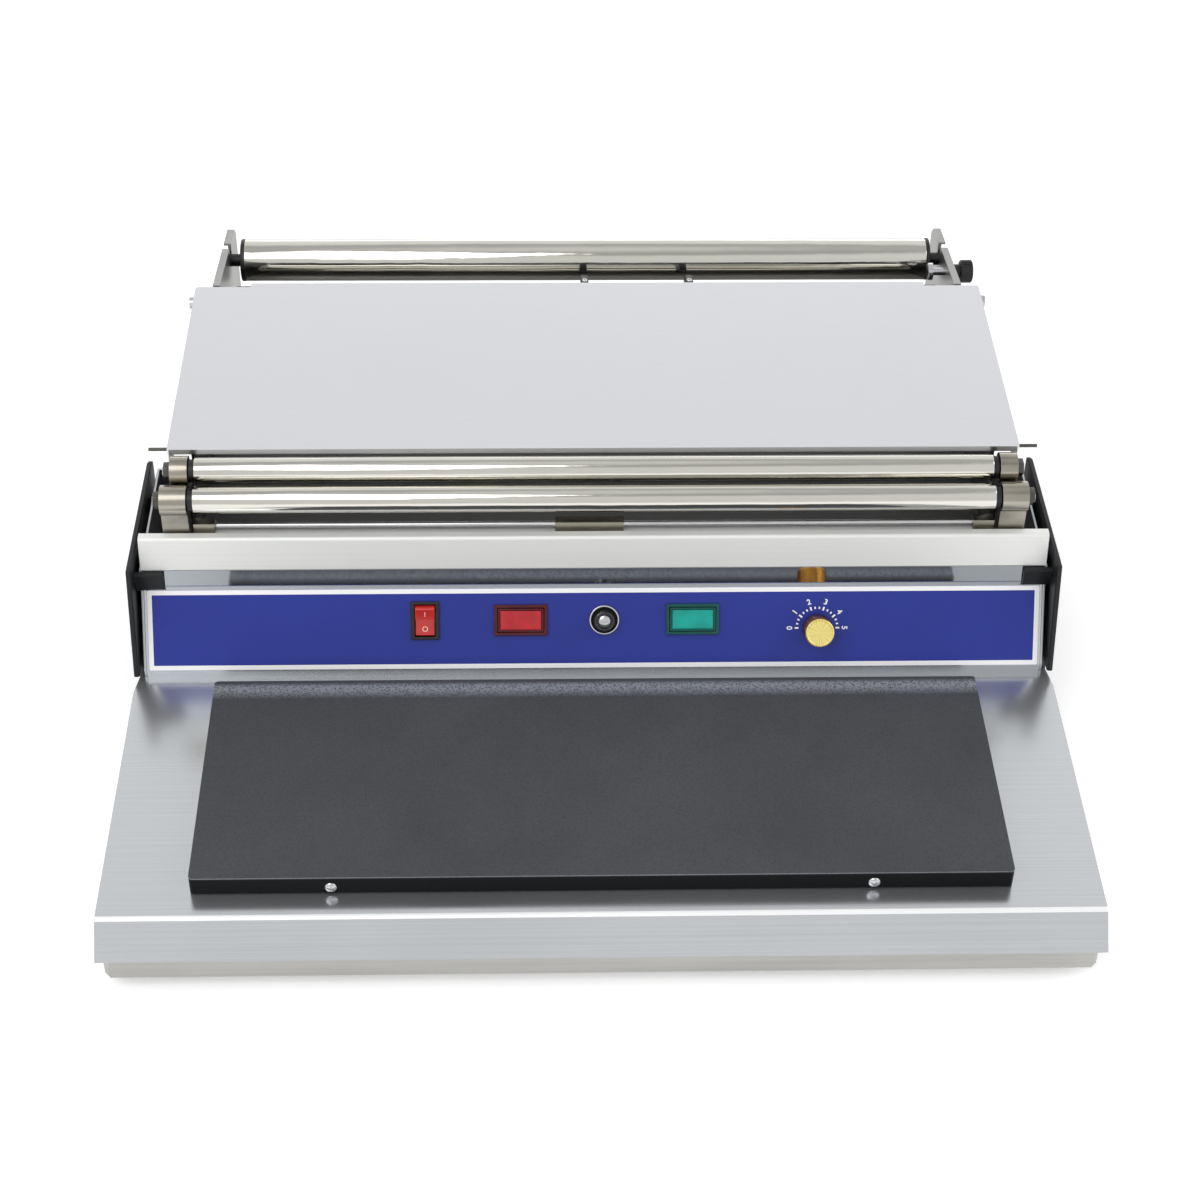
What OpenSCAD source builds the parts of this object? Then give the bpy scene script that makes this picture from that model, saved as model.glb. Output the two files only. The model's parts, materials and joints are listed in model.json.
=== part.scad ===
// Table-top cling film wrapping machine: deck with a hot plate, control panel,
// hot film cutter, guide rollers, tilting platform and a cradle for the film roll.
// Millimetres. X runs left to right, Y from front to back, Z up, origin under the centre.

/* [Deck and base] */
// Width of the deck at the front
deck_w = 530; // [480:1:600]
// Height of the deck's top above its pan
deck_rise = 33; // [28:0.5:45]
// How far the front apron leans forward
apron_out = 15; // [8:0.5:20]
// How far the front apron drops
apron_drop = 17.5; // [12:0.5:20]
// Length of the cut at the deck's back corners
corner_cut_d = 22; // [14:1:30]
// How far that cut narrows the deck on each side
corner_cut_w = 4; // [2:0.5:5]
// Thickness of the folded stainless sheet
sheet_t = 1.2; // [1:0.1:1.5]
// Height of the rubber feet
foot_h = 8; // [5:0.5:12]
// Radius of the rubber feet
foot_r = 12; // [9:0.5:14]

/* [Hot plate] */
// Width of the hot plate
hot_w = 434; // [380:1:450]
// Depth of the hot plate
hot_d = 151; // [130:1:154]
// Height of the hot plate's top above the deck
hot_rise = 12.5; // [12:0.5:16]
// Gap between the hot plate's skirt and the deck
hot_gap = 0.8; // [0.4:0.1:1.4]
// Thickness of the coated plate
hot_t = 1.5; // [1:0.1:2]
// Distance from the deck's front edge to the hot plate
hot_front = 16; // [12:0.5:18]
// Distance from the hot plate to the control panel
hot_behind = 17; // [15:0.5:22]

/* [Control panel] */
// Height of the panel's lower edge above the deck
panel_foot = 5; // [4:0.5:8]
// Rise of the sloping panel
panel_rise = 41; // [38:0.5:46]
// How far the panel leans back
panel_lean = 24; // [20:0.5:27]
// How far the panel's ends lie inside the deck's
panel_in = 6.8; // [5.5:0.1:9]
// Thickness of the printed label
label_t = 0.4; // [0.3:0.1:0.6]
// Sideways place of the rocker switch
switch_x = -98; // [-120:1:-75]
// Sideways place of the red indicator
red_x = -43; // [-48:1:-38]
// Sideways place of the fuse
fuse_x = 5; // [2:1:8]
// Sideways place of the green indicator
green_x = 56; // [50:1:62]
// Sideways place of the temperature knob
knob_x = 128; // [118:1:140]
// Diameter of the temperature knob
knob_dia = 17; // [15:0.5:20]
// Length of the temperature knob
knob_l = 15; // [12:0.5:18]

/* [Cutter] */
// Height of the shelf that carries the cutter, above the deck
shelf_rise = 59; // [58:0.5:61]
// Height of the guard bar
guard_h = 19.8; // [18:0.1:21]
// How far the guard bar's ends stand past the panel's
guard_over = 0.8; // [0.4:0.1:1.4]
// Height of the cutter's channel
channel_h = 17; // [15:0.5:18]
// Radius of the heated cutting rod
rod_r = 1.6; // [1.2:0.1:2]

/* [Front rollers] */
// Radius of the front rollers
front_r = 7.65; // [6.5:0.05:8]
// How far the front rollers' ends lie inside the deck's
roller_in = 38; // [37:0.5:48]
// Radius of the fixed shafts of the front rollers
shaft_r = 3; // [2.5:0.1:3.5]
// Height of the lower roller above the deck
low_rise = 97; // [96:0.5:97.5]
// Height of the upper roller above the deck
high_rise = 105.5; // [105:0.5:106]

/* [Platform] */
// How far the platform's sides stand past the upper roller's arms
plat_over = 2.5; // [2:0.1:5]
// Depth of the platform
plat_d = 165; // [150:1:165]
// How far the platform's rear edge reaches back between its two corners
plat_tail = 4; // [2:0.5:5]
// Height of the platform's top above the deck
plat_rise = 114.5; // [114:0.5:115.5]
// Thickness of the platform sheet
plat_t = 1.5; // [1.2:0.1:2]
// Depth of the platform's side skirts
skirt_h = 14; // [10:0.5:16]

/* [Film cradle] */
// Radius of the two cradle rollers
cradle_r = 13.5; // [12:0.1:14]
// Gap between the cradle rollers' tubes and each side plate
cradle_gap = 9.5; // [8:0.5:14]
// Wall of the cradle rollers' tubes
tube_wall = 1.2; // [1:0.1:1.5]
// Radius of the film stops
stop_r = 20; // [18:0.5:22]
// Thickness of the film stops
stop_t = 4.6; // [4:0.1:6]
// Place of the left film stop along its roller
stop_left_x = -2; // [-60:1:2]
// Place of the right film stop along its roller
stop_right_x = 64; // [40:1:120]
// Radius of the brake knob
brake_r = 7.3; // [6:0.1:8]

/* [Sides] */
// Thickness of the side plates
plate_t = 2; // [1.5:0.1:2.5]
// Thickness of the black side covers
cover_t = 3; // [2:0.1:3]
// Radius of the cord gland's bore
gland_bore_r = 4; // [3:0.1:4.5]

/* [Hidden] */
$fn = 48;

// Clearances and the overrun of every cut
eps = 0.5;
seat = 0.3;
run_fit = 0.05;
press_fit = 0.02;

// Widths that follow the deck's
panel_w = deck_w - 2 * panel_in;
guard_w = panel_w + 2 * guard_over;
front_l = deck_w - 2 * roller_in;

// The deck reaches back past the hot plate
deck_d = hot_front + hot_d + hot_behind;

// Levels
pan_z = foot_h;
deck_z = pan_z + deck_rise;
pan_floor = pan_z + sheet_t;

// The front housing: foot flange, riser, panel, ledge, front strip and shelf
foot_flange = 9.5;
ledge_d = 1.5;
shelf_d = 24;
shelf_drop = 4;
panel_y = deck_d;
panel_z = deck_z + panel_foot;
panel_top_y = panel_y + panel_lean;
panel_top_z = panel_z + panel_rise;
strip_y = panel_top_y + ledge_d;
shelf_z = deck_z + shelf_rise;
shelf_back = strip_y + shelf_d;
lean_a = atan2(panel_lean, panel_rise);
panel_s = norm([panel_lean, panel_rise]);

// Rollers: places back from the front strip
low_back = 16.5;
roller_step = 16;
low_y = strip_y + low_back;
low_z = deck_z + low_rise;
high_y = low_y + roller_step;
high_z = deck_z + high_rise;
bush_flange = 3.2;
bush_flange_r = 6.5;
bush_in = 14;
arm_gap = seat;
arm_x = front_l / 2 + bush_flange + arm_gap;
low_arm_w = 15;
high_arm_w = 10;
arm_r = 8.6;
arm_wall = 2.5;
nut_r = 5.2;
nut_t = 4;

// Platform and its pivots
plat_w = 2 * (arm_x + high_arm_w + plat_over);
plat_gap = 8;
plat_y = high_y + plat_gap;
plat_back = plat_y + plat_d;
plat_z = deck_z + plat_rise;
lip_h = 3.5;
tail_in = 28;
tail_w = plat_w - 2 * (plat_over + tail_in + lip_h);
pivot_in = 8;
pivot_drop = 6.5;
pivot_y = plat_back - pivot_in;
pivot_z = plat_z - pivot_drop;
pivot_r = 2.5;
pivot_head_r = 4;
pivot_head_t = 3;
lift_pin_r = 1;
lift_pin_l = 11;
lift_pin_in = 5;

// Film cradle
middle_back = 20;
cradle_step = 44;
middle_drop = 29;
rear_drop = 22;
middle_y = plat_back + middle_back;
middle_z = plat_z - middle_drop;
rear_y = middle_y + cradle_step;
rear_z = plat_z - rear_drop;
stub_r = 4;
plug_flange = 2.5;
plug_in = 16;

// Side plates
plate_x = arm_x - plate_t;
plate_w = arm_x + plate_t;
cradle_l = 2 * (plate_x - cradle_gap);
plate_front = shelf_back + sheet_t + seat + plate_t;
plate_flange = 2.5;
flange_t = 1.5;
notch_in = 4;
notch_out = 3.8;
notch_drop = 19;
plate_end = 33;
plate_high_drop = 1.5;
plate_rear_drop = 16;
end_cut = 6;
pad_t = 3;
pad_l = 14;
pivot_shoulder_r = 4.4;
plate_rear_y = rear_y + plate_end;
plate_high_z = plat_z - plate_high_drop;
plate_rear_z = plat_z - plate_rear_drop;
plate_front_z = low_z - arm_r - arm_wall;
plate_rise_y = plat_y + 2 * lip_h;
rest_z = plat_z - plat_t - pad_t;
notch_z = plat_z - notch_drop;

// Cheeks and covers
cheek_t = 1.5;
cheek_d = 55;
cheek_x = panel_w / 2 + seat;
cheek_back = plat_y + cheek_d;
cover_in = deck_w / 2 - cover_t;
cover_over = 10;
cover_front = 5;
cover_lean_back = 11;
cover_fall = 5;
cover_z = shelf_z + cover_over;
cover_boss_r = 5;
cover_screw_r = 1.9;
cover_head_r = 3.6;
cover_head_t = 1.8;
cover_hole_in = 16;
strip_end_x = panel_w / 2 - 2 * end_cut;
block_lean = 4;

// Deck and pan
apron_return = 10;
side_return = 12;
apron_z = deck_z - apron_drop;
deck_end = panel_y + foot_flange + eps;
cut_y = deck_end - corner_cut_d;
pan_set = 3;
pan_in = 3;
pan_cut = 3.5;
pan_front = pan_set - apron_out;
pan_step = cheek_back - cheek_t - seat;
pan_rear_x = arm_x + seat + sheet_t;
total_back = plate_rear_y + seat + sheet_t;
foot_in = 30;
bolt_r = 2;
bolt_head_r = 4.2;
bolt_head_t = 2.5;
bolt_nut_t = 3.2;
foot_recess = foot_h / 2;

// Hot plate and its heater
hot_mid = hot_front + hot_d / 2;
hot_screw_x = 143;
hot_screw_z = 5;
small_screw_r = 1.9;
small_head_r = 3.4;
small_head_t = 2;
hot_bracket_w = 25;
hot_bracket_d = 14;
hot_bracket_t = 1.5;
heat_margin = 17;
heat_w = hot_w - 2 * heat_margin;
heat_d = hot_d - 2 * heat_margin;
heat_top = deck_z + hot_rise - hot_t;
pad_in_t = 2.5;
wool_t = 4.2;
clamp_t = 1;
hot_clamp_over = 6;
clamp_z = heat_top - pad_in_t - wool_t - clamp_t;
bulb_r = 2;
bulb_l = 60;
bulb_x = 90;
bulb_run = 12;
capillary_r = 0.9;
capillary_rise = 6;
capillary_bend = 7;
lead_x = 126;
lead_y = 86;
lead_hole_r = 5;

// Controls
control_s = 28.8;
knob_s = 23;
reach = 14;
label_in = 0.6;
label_side = 3;
switch_w = 14;
switch_h = 20;
switch_deep = 16;
bezel_in = 1.1;
bezel_t = 1.8;
rocker_w = 11.2;
rocker_r = 9.1;
rocker_axis = -1.5;
rocker_tilt = 11;
rocker_under = 3.5;
rocker_over = 2.7;
rocker_well = 7.5;
trunnion_r = 1;
trunnion_l = 0.9;
lamp_w = 28.4;
lamp_h = 15.8;
lamp_deep = 22;
lamp_well = 8;
lens_w = 26.4;
lens_h = 14;
lens_t = 2.9;
lens_ledge = 1.2;
neon_r = 2;
neon_l = 14;
fuse_r = 6;
fuse_ring_r = 8.8;
fuse_ring_t = 2.4;
fuse_deep = 30;
fuse_bore_r = 4.1;
fuse_cap_t = 4.6;
fuse_cap_z = label_t + fuse_ring_t + seat;
fuse_stem_z = -4;
fuse_slot_w = 1.2;
glass_r = 2.6;
glass_l = 20;
stat_w = 40;
stat_h = 34;
stat_d = 22;
stat_bush_r = 5;
stem_r = 3;
knob_z = label_t + 2 * seat;
knob_skin = 2;

// Cutter
guard_y = strip_y + seat;
guard_lean = 3.8;
guard_foot_z = shelf_z + sheet_t * guard_lean / guard_h;
guard_top = 6.4;
guard_lip = 6;
guard_back = guard_y + guard_lean + guard_top;
channel_y = guard_back + seat;
channel_d = 12;
channel_z = shelf_z + channel_h;
clip_h = 7;
clip_d = 10.5;
clip_foot = 2;
clip_wall = 1.4;
clip_end = 6;
rod_y = channel_y + sheet_t + rod_r + clip_wall;
rod_z = channel_z + clip_foot + rod_r + seat;
clip_screw_r = 1.1;
clip_head_r = 1.8;
clip_head_t = 1.2;
clip_screw_l = 6;
clip_screw_y = channel_y + sheet_t + clip_d - clip_head_r - seat;
centre_clip_w = 39;
end_clip_w = 12;
centre_clip_x = -3.5;
end_clip_x = plate_x - end_clip_w / 2 - seat;
clip_spans = [[-end_clip_x, end_clip_w], [centre_clip_x, centre_clip_w], [end_clip_x, end_clip_w]];
clip_screw_x = [-end_clip_x, centre_clip_x - centre_clip_w / 3, centre_clip_x + centre_clip_w / 3,
    end_clip_x];

// Roller brackets
leg_front = 5;
leg_back = 7;
arm_foot_w = 7;
high_foot_z = shelf_z + arm_foot_w;

// Film stops and brake
stop_screw_r = 1.4;
stop_head_r = 1.8;
stop_head_t = 1.1;
brake_back = 18;
brake_drop = 14.7;
brake_y = middle_y + brake_back;
brake_z = plat_z - brake_drop;
spindle_r = 2.5;
spindle_in = 8;
knob_gap = 3;
hub_l = 4.5;
hub_r = 4.6;
cap_l = 8;
brake_skin = 2;
brake_pad_r = 5.5;
brake_pad_t = 3;

// Compartment
tray_z = shelf_z - shelf_drop;
tray_h = 11;
panel_back_in = 18;
panel_back_y = plate_rear_y - panel_back_in - sheet_t;
gland_in = 48.5;
gland_x = gland_in - plate_x;
gland_z = deck_z - 2;
gland_r = 6;
gland_flange_r = 10;
gland_nut_t = 4;
gland_cap_r = 8;
gland_l = 14;
transformer_in = 78.5;
transformer_x = plate_x - transformer_in;
transformer_y = 350;
core_w = 60;
core_d = 45;
core_h = 50;
core_leg = 10;
trunk_y = 250;
trunk_z = deck_z - 8;
trunk_r = 3;
wire_r = 1.2;

module in_frame() {
    // The origin lies midway between the apron's front and the pan's rear wall
    translate([0, (apron_out - total_back) / 2, 0])
        children();
}

// A polygon around a polyline, with the sheet's thickness on its right-hand side
function unit2(v) = v / norm(v);
function right2(v) = [v[1], -v[0]];
function mitre(a, b, c) = let (n1 = right2(unit2(b - a)), n2 = right2(unit2(c - b)))
    (n1 + n2) / (1 + n1 * n2);
function shifted(p, t) = [for (i = [0 : len(p) - 1])
    i == 0 ? p[0] + t * right2(unit2(p[1] - p[0]))
    : i == len(p) - 1 ? p[i] + t * right2(unit2(p[i] - p[i - 1]))
    : p[i] + t * mitre(p[i - 1], p[i], p[i + 1])];
function ring(p, t) = let (q = shifted(p, t), n = len(p))
    concat(p, [for (i = [0 : n - 1]) q[n - 1 - i]]);

module along_x(w, x0 = undef) {
    // Extrudes a YZ outline along X, about the middle or from x0
    translate([is_undef(x0) ? -w / 2 : x0, 0, 0])
        rotate([90, 0, 90])
            linear_extrude(w)
                children();
}

module rod_x(r, l, x0 = undef) {
    translate([is_undef(x0) ? -l / 2 : x0, 0, 0])
        rotate([0, 90, 0])
            cylinder(r = r, h = l);
}

module both_sides() {
    children();
    mirror([1, 0, 0])
        children();
}

module block(size, x = 0, y = 0, z = 0) {
    // A box centred in X and Y on the given place, standing on z
    translate([x - size[0] / 2, y - size[1] / 2, z])
        cube(size);
}

module on_panel(x, s) {
    // Local Z points out of the sloping panel and local Y up along it
    translate([x, panel_y + s * sin(lean_a), panel_z + s * cos(lean_a)])
        rotate([90 - lean_a, 0, 0])
            children();
}

module between(a, b, r) {
    // A round bar from point a to point b
    d = b - a;
    translate(a)
        rotate([0, acos(d[2] / norm(d)), atan2(d[1], d[0])])
            cylinder(r = r, h = norm(d));
}

module bent_tube(points, r) {
    // A tube along straight runs with round corners
    for (i = [0 : len(points) - 2])
        between(points[i], points[i + 1], r);
    for (i = [1 : len(points) - 2])
        translate(points[i])
            sphere(r = r + run_fit);
}

function panel_point(x, s, d) = [x,
    panel_y + s * sin(lean_a) - d * cos(lean_a),
    panel_z + s * cos(lean_a) + d * sin(lean_a)];

module deck_plan(inset, y0, y1) {
    // The deck's outline in plan, between two places along Y
    w = deck_w / 2 - inset;
    polygon([[-w, y0], [w, y0], [w, cut_y], [w - corner_cut_w, y1],
        [-w + corner_cut_w, y1], [-w, cut_y]]);
}

module deck() in_frame() color([0.78, 0.79, 0.80])
    difference() {
        union() {
            along_x(deck_w)
                polygon(ring([[apron_return - apron_out, apron_z], [-apron_out, apron_z],
                    [0, deck_z], [cut_y, deck_z]], sheet_t));
            translate([0, 0, deck_z - sheet_t])
                linear_extrude(sheet_t)
                    deck_plan(0, 0, deck_end);
            both_sides() {
                translate([0, 0, apron_z])
                    linear_extrude(apron_drop)
                        polygon(ring([[deck_w / 2 - corner_cut_w, deck_end],
                            [deck_w / 2, cut_y], [deck_w / 2, 0]], sheet_t));
                translate([0, 0, apron_z])
                    linear_extrude(sheet_t)
                        polygon(ring([[deck_w / 2 - corner_cut_w, deck_end],
                            [deck_w / 2, cut_y], [deck_w / 2, 0]], side_return));
                along_x(sheet_t, deck_w / 2 - sheet_t)
                    polygon([[-apron_out, apron_z], [0, deck_z], [0, apron_z]]);
            }
        }
        translate([lead_x, lead_y, deck_z - sheet_t - eps])
            cylinder(r = lead_hole_r, h = sheet_t + 2 * eps);
    }

module tee(inset) {
    // The pan's outline: wide under the deck, narrow under the film cradle
    f = deck_w / 2 - pan_in - inset;
    g = panel_w / 2 - inset;
    r = pan_rear_x - inset;
    y0 = pan_front + inset;
    y1 = pan_step - inset;
    y2 = total_back - inset;
    polygon([[-f, y0 + pan_cut], [-f + pan_cut, y0], [f - pan_cut, y0], [f, y0 + pan_cut],
        [f, cut_y], [g, deck_end], [g, y1], [r, y1], [r, y2], [-r, y2], [-r, y1], [-g, y1],
        [-g, deck_end], [-f, cut_y]]);
}

module foot_places() {
    for (s = [-1, 1]) {
        translate([s * (panel_w / 2 - foot_in), pan_front + foot_in, 0])
            children();
        translate([s * (pan_rear_x - foot_in), total_back - foot_in, 0])
            children();
    }
}

module bottom_pan() in_frame() color([0.62, 0.63, 0.65])
    difference() {
        translate([0, 0, pan_z])
            linear_extrude(apron_z - pan_z)
                tee(0);
        translate([0, 0, pan_floor])
            linear_extrude(apron_z)
                tee(sheet_t);
        foot_places()
            cylinder(r = bolt_r + press_fit, h = pan_floor + eps);
    }

module feet() in_frame() color([0.08, 0.08, 0.09])
    foot_places()
        difference() {
            cylinder(r = foot_r, h = foot_h);
            translate([0, 0, -eps])
                cylinder(r = bolt_r + press_fit, h = foot_h + 2 * eps);
            translate([0, 0, -eps])
                cylinder(r = bolt_head_r + seat, h = foot_recess + eps);
        }

module foot_bolts() in_frame() color([0.70, 0.70, 0.72])
    foot_places() {
        translate([0, 0, foot_recess - bolt_head_t])
            cylinder(r = bolt_head_r, h = bolt_head_t);
        translate([0, 0, foot_recess - eps])
            cylinder(r = bolt_r, h = pan_floor - foot_recess + bolt_nut_t + 2 * eps);
        translate([0, 0, pan_floor])
            cylinder(r = bolt_head_r, h = bolt_nut_t, $fn = 6);
    }

module hot_places() {
    // The four brackets, each facing the middle of the plate
    for (s = [-1, 1]) {
        translate([s * hot_screw_x, hot_front + hot_t, deck_z])
            children();
        translate([s * hot_screw_x, hot_front + hot_d - hot_t, deck_z])
            mirror([0, 1, 0])
                children();
    }
}

module hot_plate() in_frame() color([0.27, 0.28, 0.30])
    difference() {
        block([hot_w, hot_d, hot_rise - hot_gap], 0, hot_mid, deck_z + hot_gap);
        block([hot_w - 2 * hot_t, hot_d - 2 * hot_t, hot_rise - hot_gap], 0, hot_mid,
            deck_z + hot_gap - hot_t);
        hot_places()
            translate([0, eps, hot_screw_z])
                rotate([90, 0, 0])
                    cylinder(r = small_screw_r + press_fit, h = hot_t + 2 * eps);
    }

module hot_plate_brackets() in_frame() color([0.72, 0.72, 0.74])
    hot_places()
        difference() {
            union() {
                translate([-hot_bracket_w / 2, 0, 0])
                    cube([hot_bracket_w, hot_bracket_t, hot_rise - hot_t - seat]);
                translate([-hot_bracket_w / 2, 0, 0])
                    cube([hot_bracket_w, hot_bracket_d, hot_bracket_t]);
            }
            translate([0, hot_bracket_t + eps, hot_screw_z])
                rotate([90, 0, 0])
                    cylinder(r = small_screw_r + press_fit, h = hot_bracket_t + 2 * eps);
        }

module hot_plate_screws() in_frame() color([0.85, 0.85, 0.86])
    hot_places()
        translate([0, -hot_t, hot_screw_z])
            rotate([90, 0, 0]) {
                translate([0, 0, -hot_t - hot_bracket_t - small_screw_r])
                    cylinder(r = small_screw_r, h = hot_t + hot_bracket_t + small_screw_r);
                intersection() {
                    translate([0, 0, small_head_t - small_head_r * small_head_r / small_head_t])
                        sphere(r = small_head_r * small_head_r / small_head_t);
                    cylinder(r = small_head_r, h = small_head_t);
                }
            }

module heater_pad() in_frame() color([0.75, 0.66, 0.45])
    block([heat_w, heat_d, pad_in_t], 0, hot_mid, heat_top - pad_in_t);

module heater_insulation() in_frame() color([0.88, 0.86, 0.80])
    difference() {
        block([heat_w, heat_d, wool_t], 0, hot_mid, heat_top - pad_in_t - wool_t);
        block([bulb_l + 2 * bulb_r + bulb_run, 2 * bulb_r + 2 * seat, wool_t + 2 * eps],
            bulb_x + bulb_run / 2, lead_y, heat_top - pad_in_t - wool_t - eps);
    }

module heater_clamp() in_frame() color([0.70, 0.71, 0.72])
    difference() {
        block([heat_w + hot_clamp_over, heat_d, clamp_t], 0, hot_mid, clamp_z);
        translate([lead_x, lead_y, clamp_z - eps])
            cylinder(r = lead_hole_r / 2, h = clamp_t + 2 * eps);
    }

module thermostat_sensor() in_frame() color([0.72, 0.45, 0.25]) {
    z = clamp_z + clamp_t + bulb_r + press_fit;
    back = panel_point(knob_x, knob_s, -sheet_t - stat_d);
    translate([bulb_x, lead_y, z])
        rod_x(bulb_r, bulb_l);
    bend = panel_point(knob_x, knob_s, -sheet_t - stat_d - capillary_bend);
    bent_tube([[bulb_x + bulb_l / 2 - eps, lead_y, z], [lead_x, lead_y, z],
        [lead_x, lead_y, apron_z + capillary_rise], [knob_x, bend[1], apron_z + capillary_rise],
        bend, back], capillary_r);
}

module front_housing() in_frame() color([0.76, 0.77, 0.78])
    difference() {
        along_x(panel_w)
            polygon(ring([[panel_y + foot_flange, deck_z], [panel_y, deck_z], [panel_y, panel_z],
                [panel_top_y, panel_top_z], [strip_y, panel_top_z], [strip_y, shelf_z],
                [shelf_back, shelf_z], [shelf_back, shelf_z - shelf_drop]], sheet_t));
        on_panel(switch_x, control_s)
            block([switch_w + seat, switch_h + seat, 2 * reach], 0, 0, -reach);
        for (x = [red_x, green_x])
            on_panel(x, control_s)
                block([lamp_w + seat, lamp_h + seat, 2 * reach], 0, 0, -reach);
        on_panel(fuse_x, control_s)
            translate([0, 0, -reach])
                cylinder(r = fuse_r + run_fit, h = 2 * reach);
        on_panel(knob_x, knob_s)
            translate([0, 0, -reach])
                cylinder(r = stat_bush_r + run_fit, h = 2 * reach);
    }

module control_label() in_frame() color([0.18, 0.25, 0.58])
    difference() {
        on_panel(0, panel_s / 2)
            block([panel_w - label_side, panel_s - label_in, label_t], 0, 0, 0);
        on_panel(switch_x, control_s)
            block([switch_w + seat, switch_h + seat, 2 * label_t + 2 * eps], 0, 0, -label_t);
        for (x = [red_x, green_x])
            on_panel(x, control_s)
                block([lamp_w + seat, lamp_h + seat, 2 * label_t + 2 * eps], 0, 0, -label_t);
        on_panel(fuse_x, control_s)
            translate([0, 0, -label_t])
                cylinder(r = fuse_r + run_fit, h = 2 * label_t + 2 * eps);
        on_panel(knob_x, knob_s)
            translate([0, 0, -label_t])
                cylinder(r = stat_bush_r + run_fit, h = 2 * label_t + 2 * eps);
    }

module switch_body() in_frame() color([0.09, 0.09, 0.10])
    on_panel(switch_x, control_s)
        difference() {
            union() {
                block([switch_w, switch_h, switch_deep + label_t + eps], 0, 0, -switch_deep);
                block([switch_w + 2 * bezel_in, switch_h + 2 * bezel_in, bezel_t], 0, 0, label_t);
            }
            block([rocker_w + 2 * seat, 2 * (rocker_r + seat), reach], 0, 0, -rocker_well);
            translate([0, 0, rocker_axis])
                rod_x(trunnion_r + run_fit, rocker_w + 2 * trunnion_l + 2 * run_fit);
        }

module rocker() in_frame() color([0.80, 0.10, 0.10])
    on_panel(switch_x, control_s)
        translate([0, 0, rocker_axis])
            rotate([rocker_tilt, 0, 0]) {
                along_x(rocker_w)
                    intersection() {
                        circle(rocker_r);
                        polygon([[-rocker_r, -rocker_under], [rocker_r, -rocker_under],
                            [rocker_r, rocker_over + rocker_r * tan(rocker_tilt)],
                            [0, rocker_over],
                            [-rocker_r, rocker_over + rocker_r * tan(rocker_tilt)]]);
                    }
                rod_x(trunnion_r, rocker_w + 2 * trunnion_l);
            }

module indicator_bodies() in_frame() color([0.13, 0.13, 0.14])
    for (x = [red_x, green_x])
        on_panel(x, control_s)
            difference() {
                union() {
                    block([lamp_w, lamp_h, lamp_deep + label_t + eps], 0, 0, -lamp_deep);
                    block([lamp_w + 2 * bezel_in, lamp_h + 2 * bezel_in, bezel_t], 0, 0, label_t);
                }
                block([lens_w + seat, lens_h + seat, reach], 0, 0, 0);
                block([lens_w - 2 * lens_ledge, lens_h - 2 * lens_ledge, reach], 0, 0, -lamp_well);
            }

module lens_at(x) {
    on_panel(x, control_s)
        block([lens_w, lens_h, lens_t], 0, 0, 0);
}

module red_lens() in_frame() color([0.80, 0.12, 0.15])
    lens_at(red_x);

module green_lens() in_frame() color([0.05, 0.55, 0.47])
    lens_at(green_x);

module indicator_lamps() in_frame() color([0.90, 0.75, 0.60])
    for (x = [red_x, green_x])
        on_panel(x, control_s)
            translate([0, 0, neon_r - lamp_well])
                rod_x(neon_r, neon_l);

module fuse_holder() in_frame() color([0.10, 0.10, 0.11])
    on_panel(fuse_x, control_s)
        difference() {
            union() {
                translate([0, 0, -fuse_deep])
                    cylinder(r = fuse_r, h = fuse_deep + label_t + fuse_ring_t);
                translate([0, 0, -sheet_t - fuse_ring_t])
                    cylinder(r = fuse_ring_r, h = fuse_ring_t);
            }
            translate([0, 0, -fuse_deep + sheet_t])
                cylinder(r = fuse_bore_r, h = fuse_deep + reach);
        }

module fuse_ring() in_frame() color([0.82, 0.82, 0.84])
    on_panel(fuse_x, control_s)
        translate([0, 0, label_t])
            difference() {
                cylinder(r = fuse_ring_r, h = fuse_ring_t);
                translate([0, 0, -eps])
                    cylinder(r = fuse_r + run_fit, h = fuse_ring_t + 2 * eps);
            }

module fuse_cap() in_frame() color([0.12, 0.12, 0.13])
    on_panel(fuse_x, control_s)
        difference() {
            union() {
                translate([0, 0, fuse_cap_z])
                    cylinder(r = fuse_r - seat, h = fuse_cap_t);
                translate([0, 0, fuse_stem_z])
                    cylinder(r = fuse_bore_r - run_fit, h = fuse_cap_z - fuse_stem_z + eps);
            }
            block([fuse_r + fuse_r / 3, fuse_slot_w, fuse_cap_t], 0, 0,
                fuse_cap_z + fuse_cap_t - fuse_slot_w);
        }

module glass_fuse() in_frame() color([0.75, 0.80, 0.82])
    on_panel(fuse_x, control_s)
        translate([0, 0, fuse_stem_z - glass_l - run_fit])
            cylinder(r = glass_r, h = glass_l);

module thermostat() in_frame() color([0.60, 0.60, 0.58])
    on_panel(knob_x, knob_s)
        difference() {
            union() {
                block([stat_w, stat_h, stat_d], 0, 0, -sheet_t - stat_d);
                translate([0, 0, -sheet_t - eps])
                    cylinder(r = stat_bush_r, h = sheet_t + label_t + eps);
            }
            translate([0, 0, -sheet_t - stat_d / 2])
                cylinder(r = stem_r + run_fit, h = reach);
        }

module thermostat_shaft() in_frame() color([0.78, 0.78, 0.80])
    on_panel(knob_x, knob_s)
        translate([0, 0, run_fit - sheet_t - stat_d / 2])
            cylinder(r = stem_r, h = sheet_t + stat_d / 2 + knob_z + knob_l - knob_skin - 2 * run_fit);

module temperature_knob() in_frame() color([0.80, 0.62, 0.25])
    on_panel(knob_x, knob_s)
        translate([0, 0, knob_z])
            difference() {
                cylinder(r = knob_dia / 2, h = knob_l);
                translate([0, 0, -eps])
                    cylinder(r = stem_r + press_fit, h = knob_l - knob_skin + eps);
            }

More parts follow.
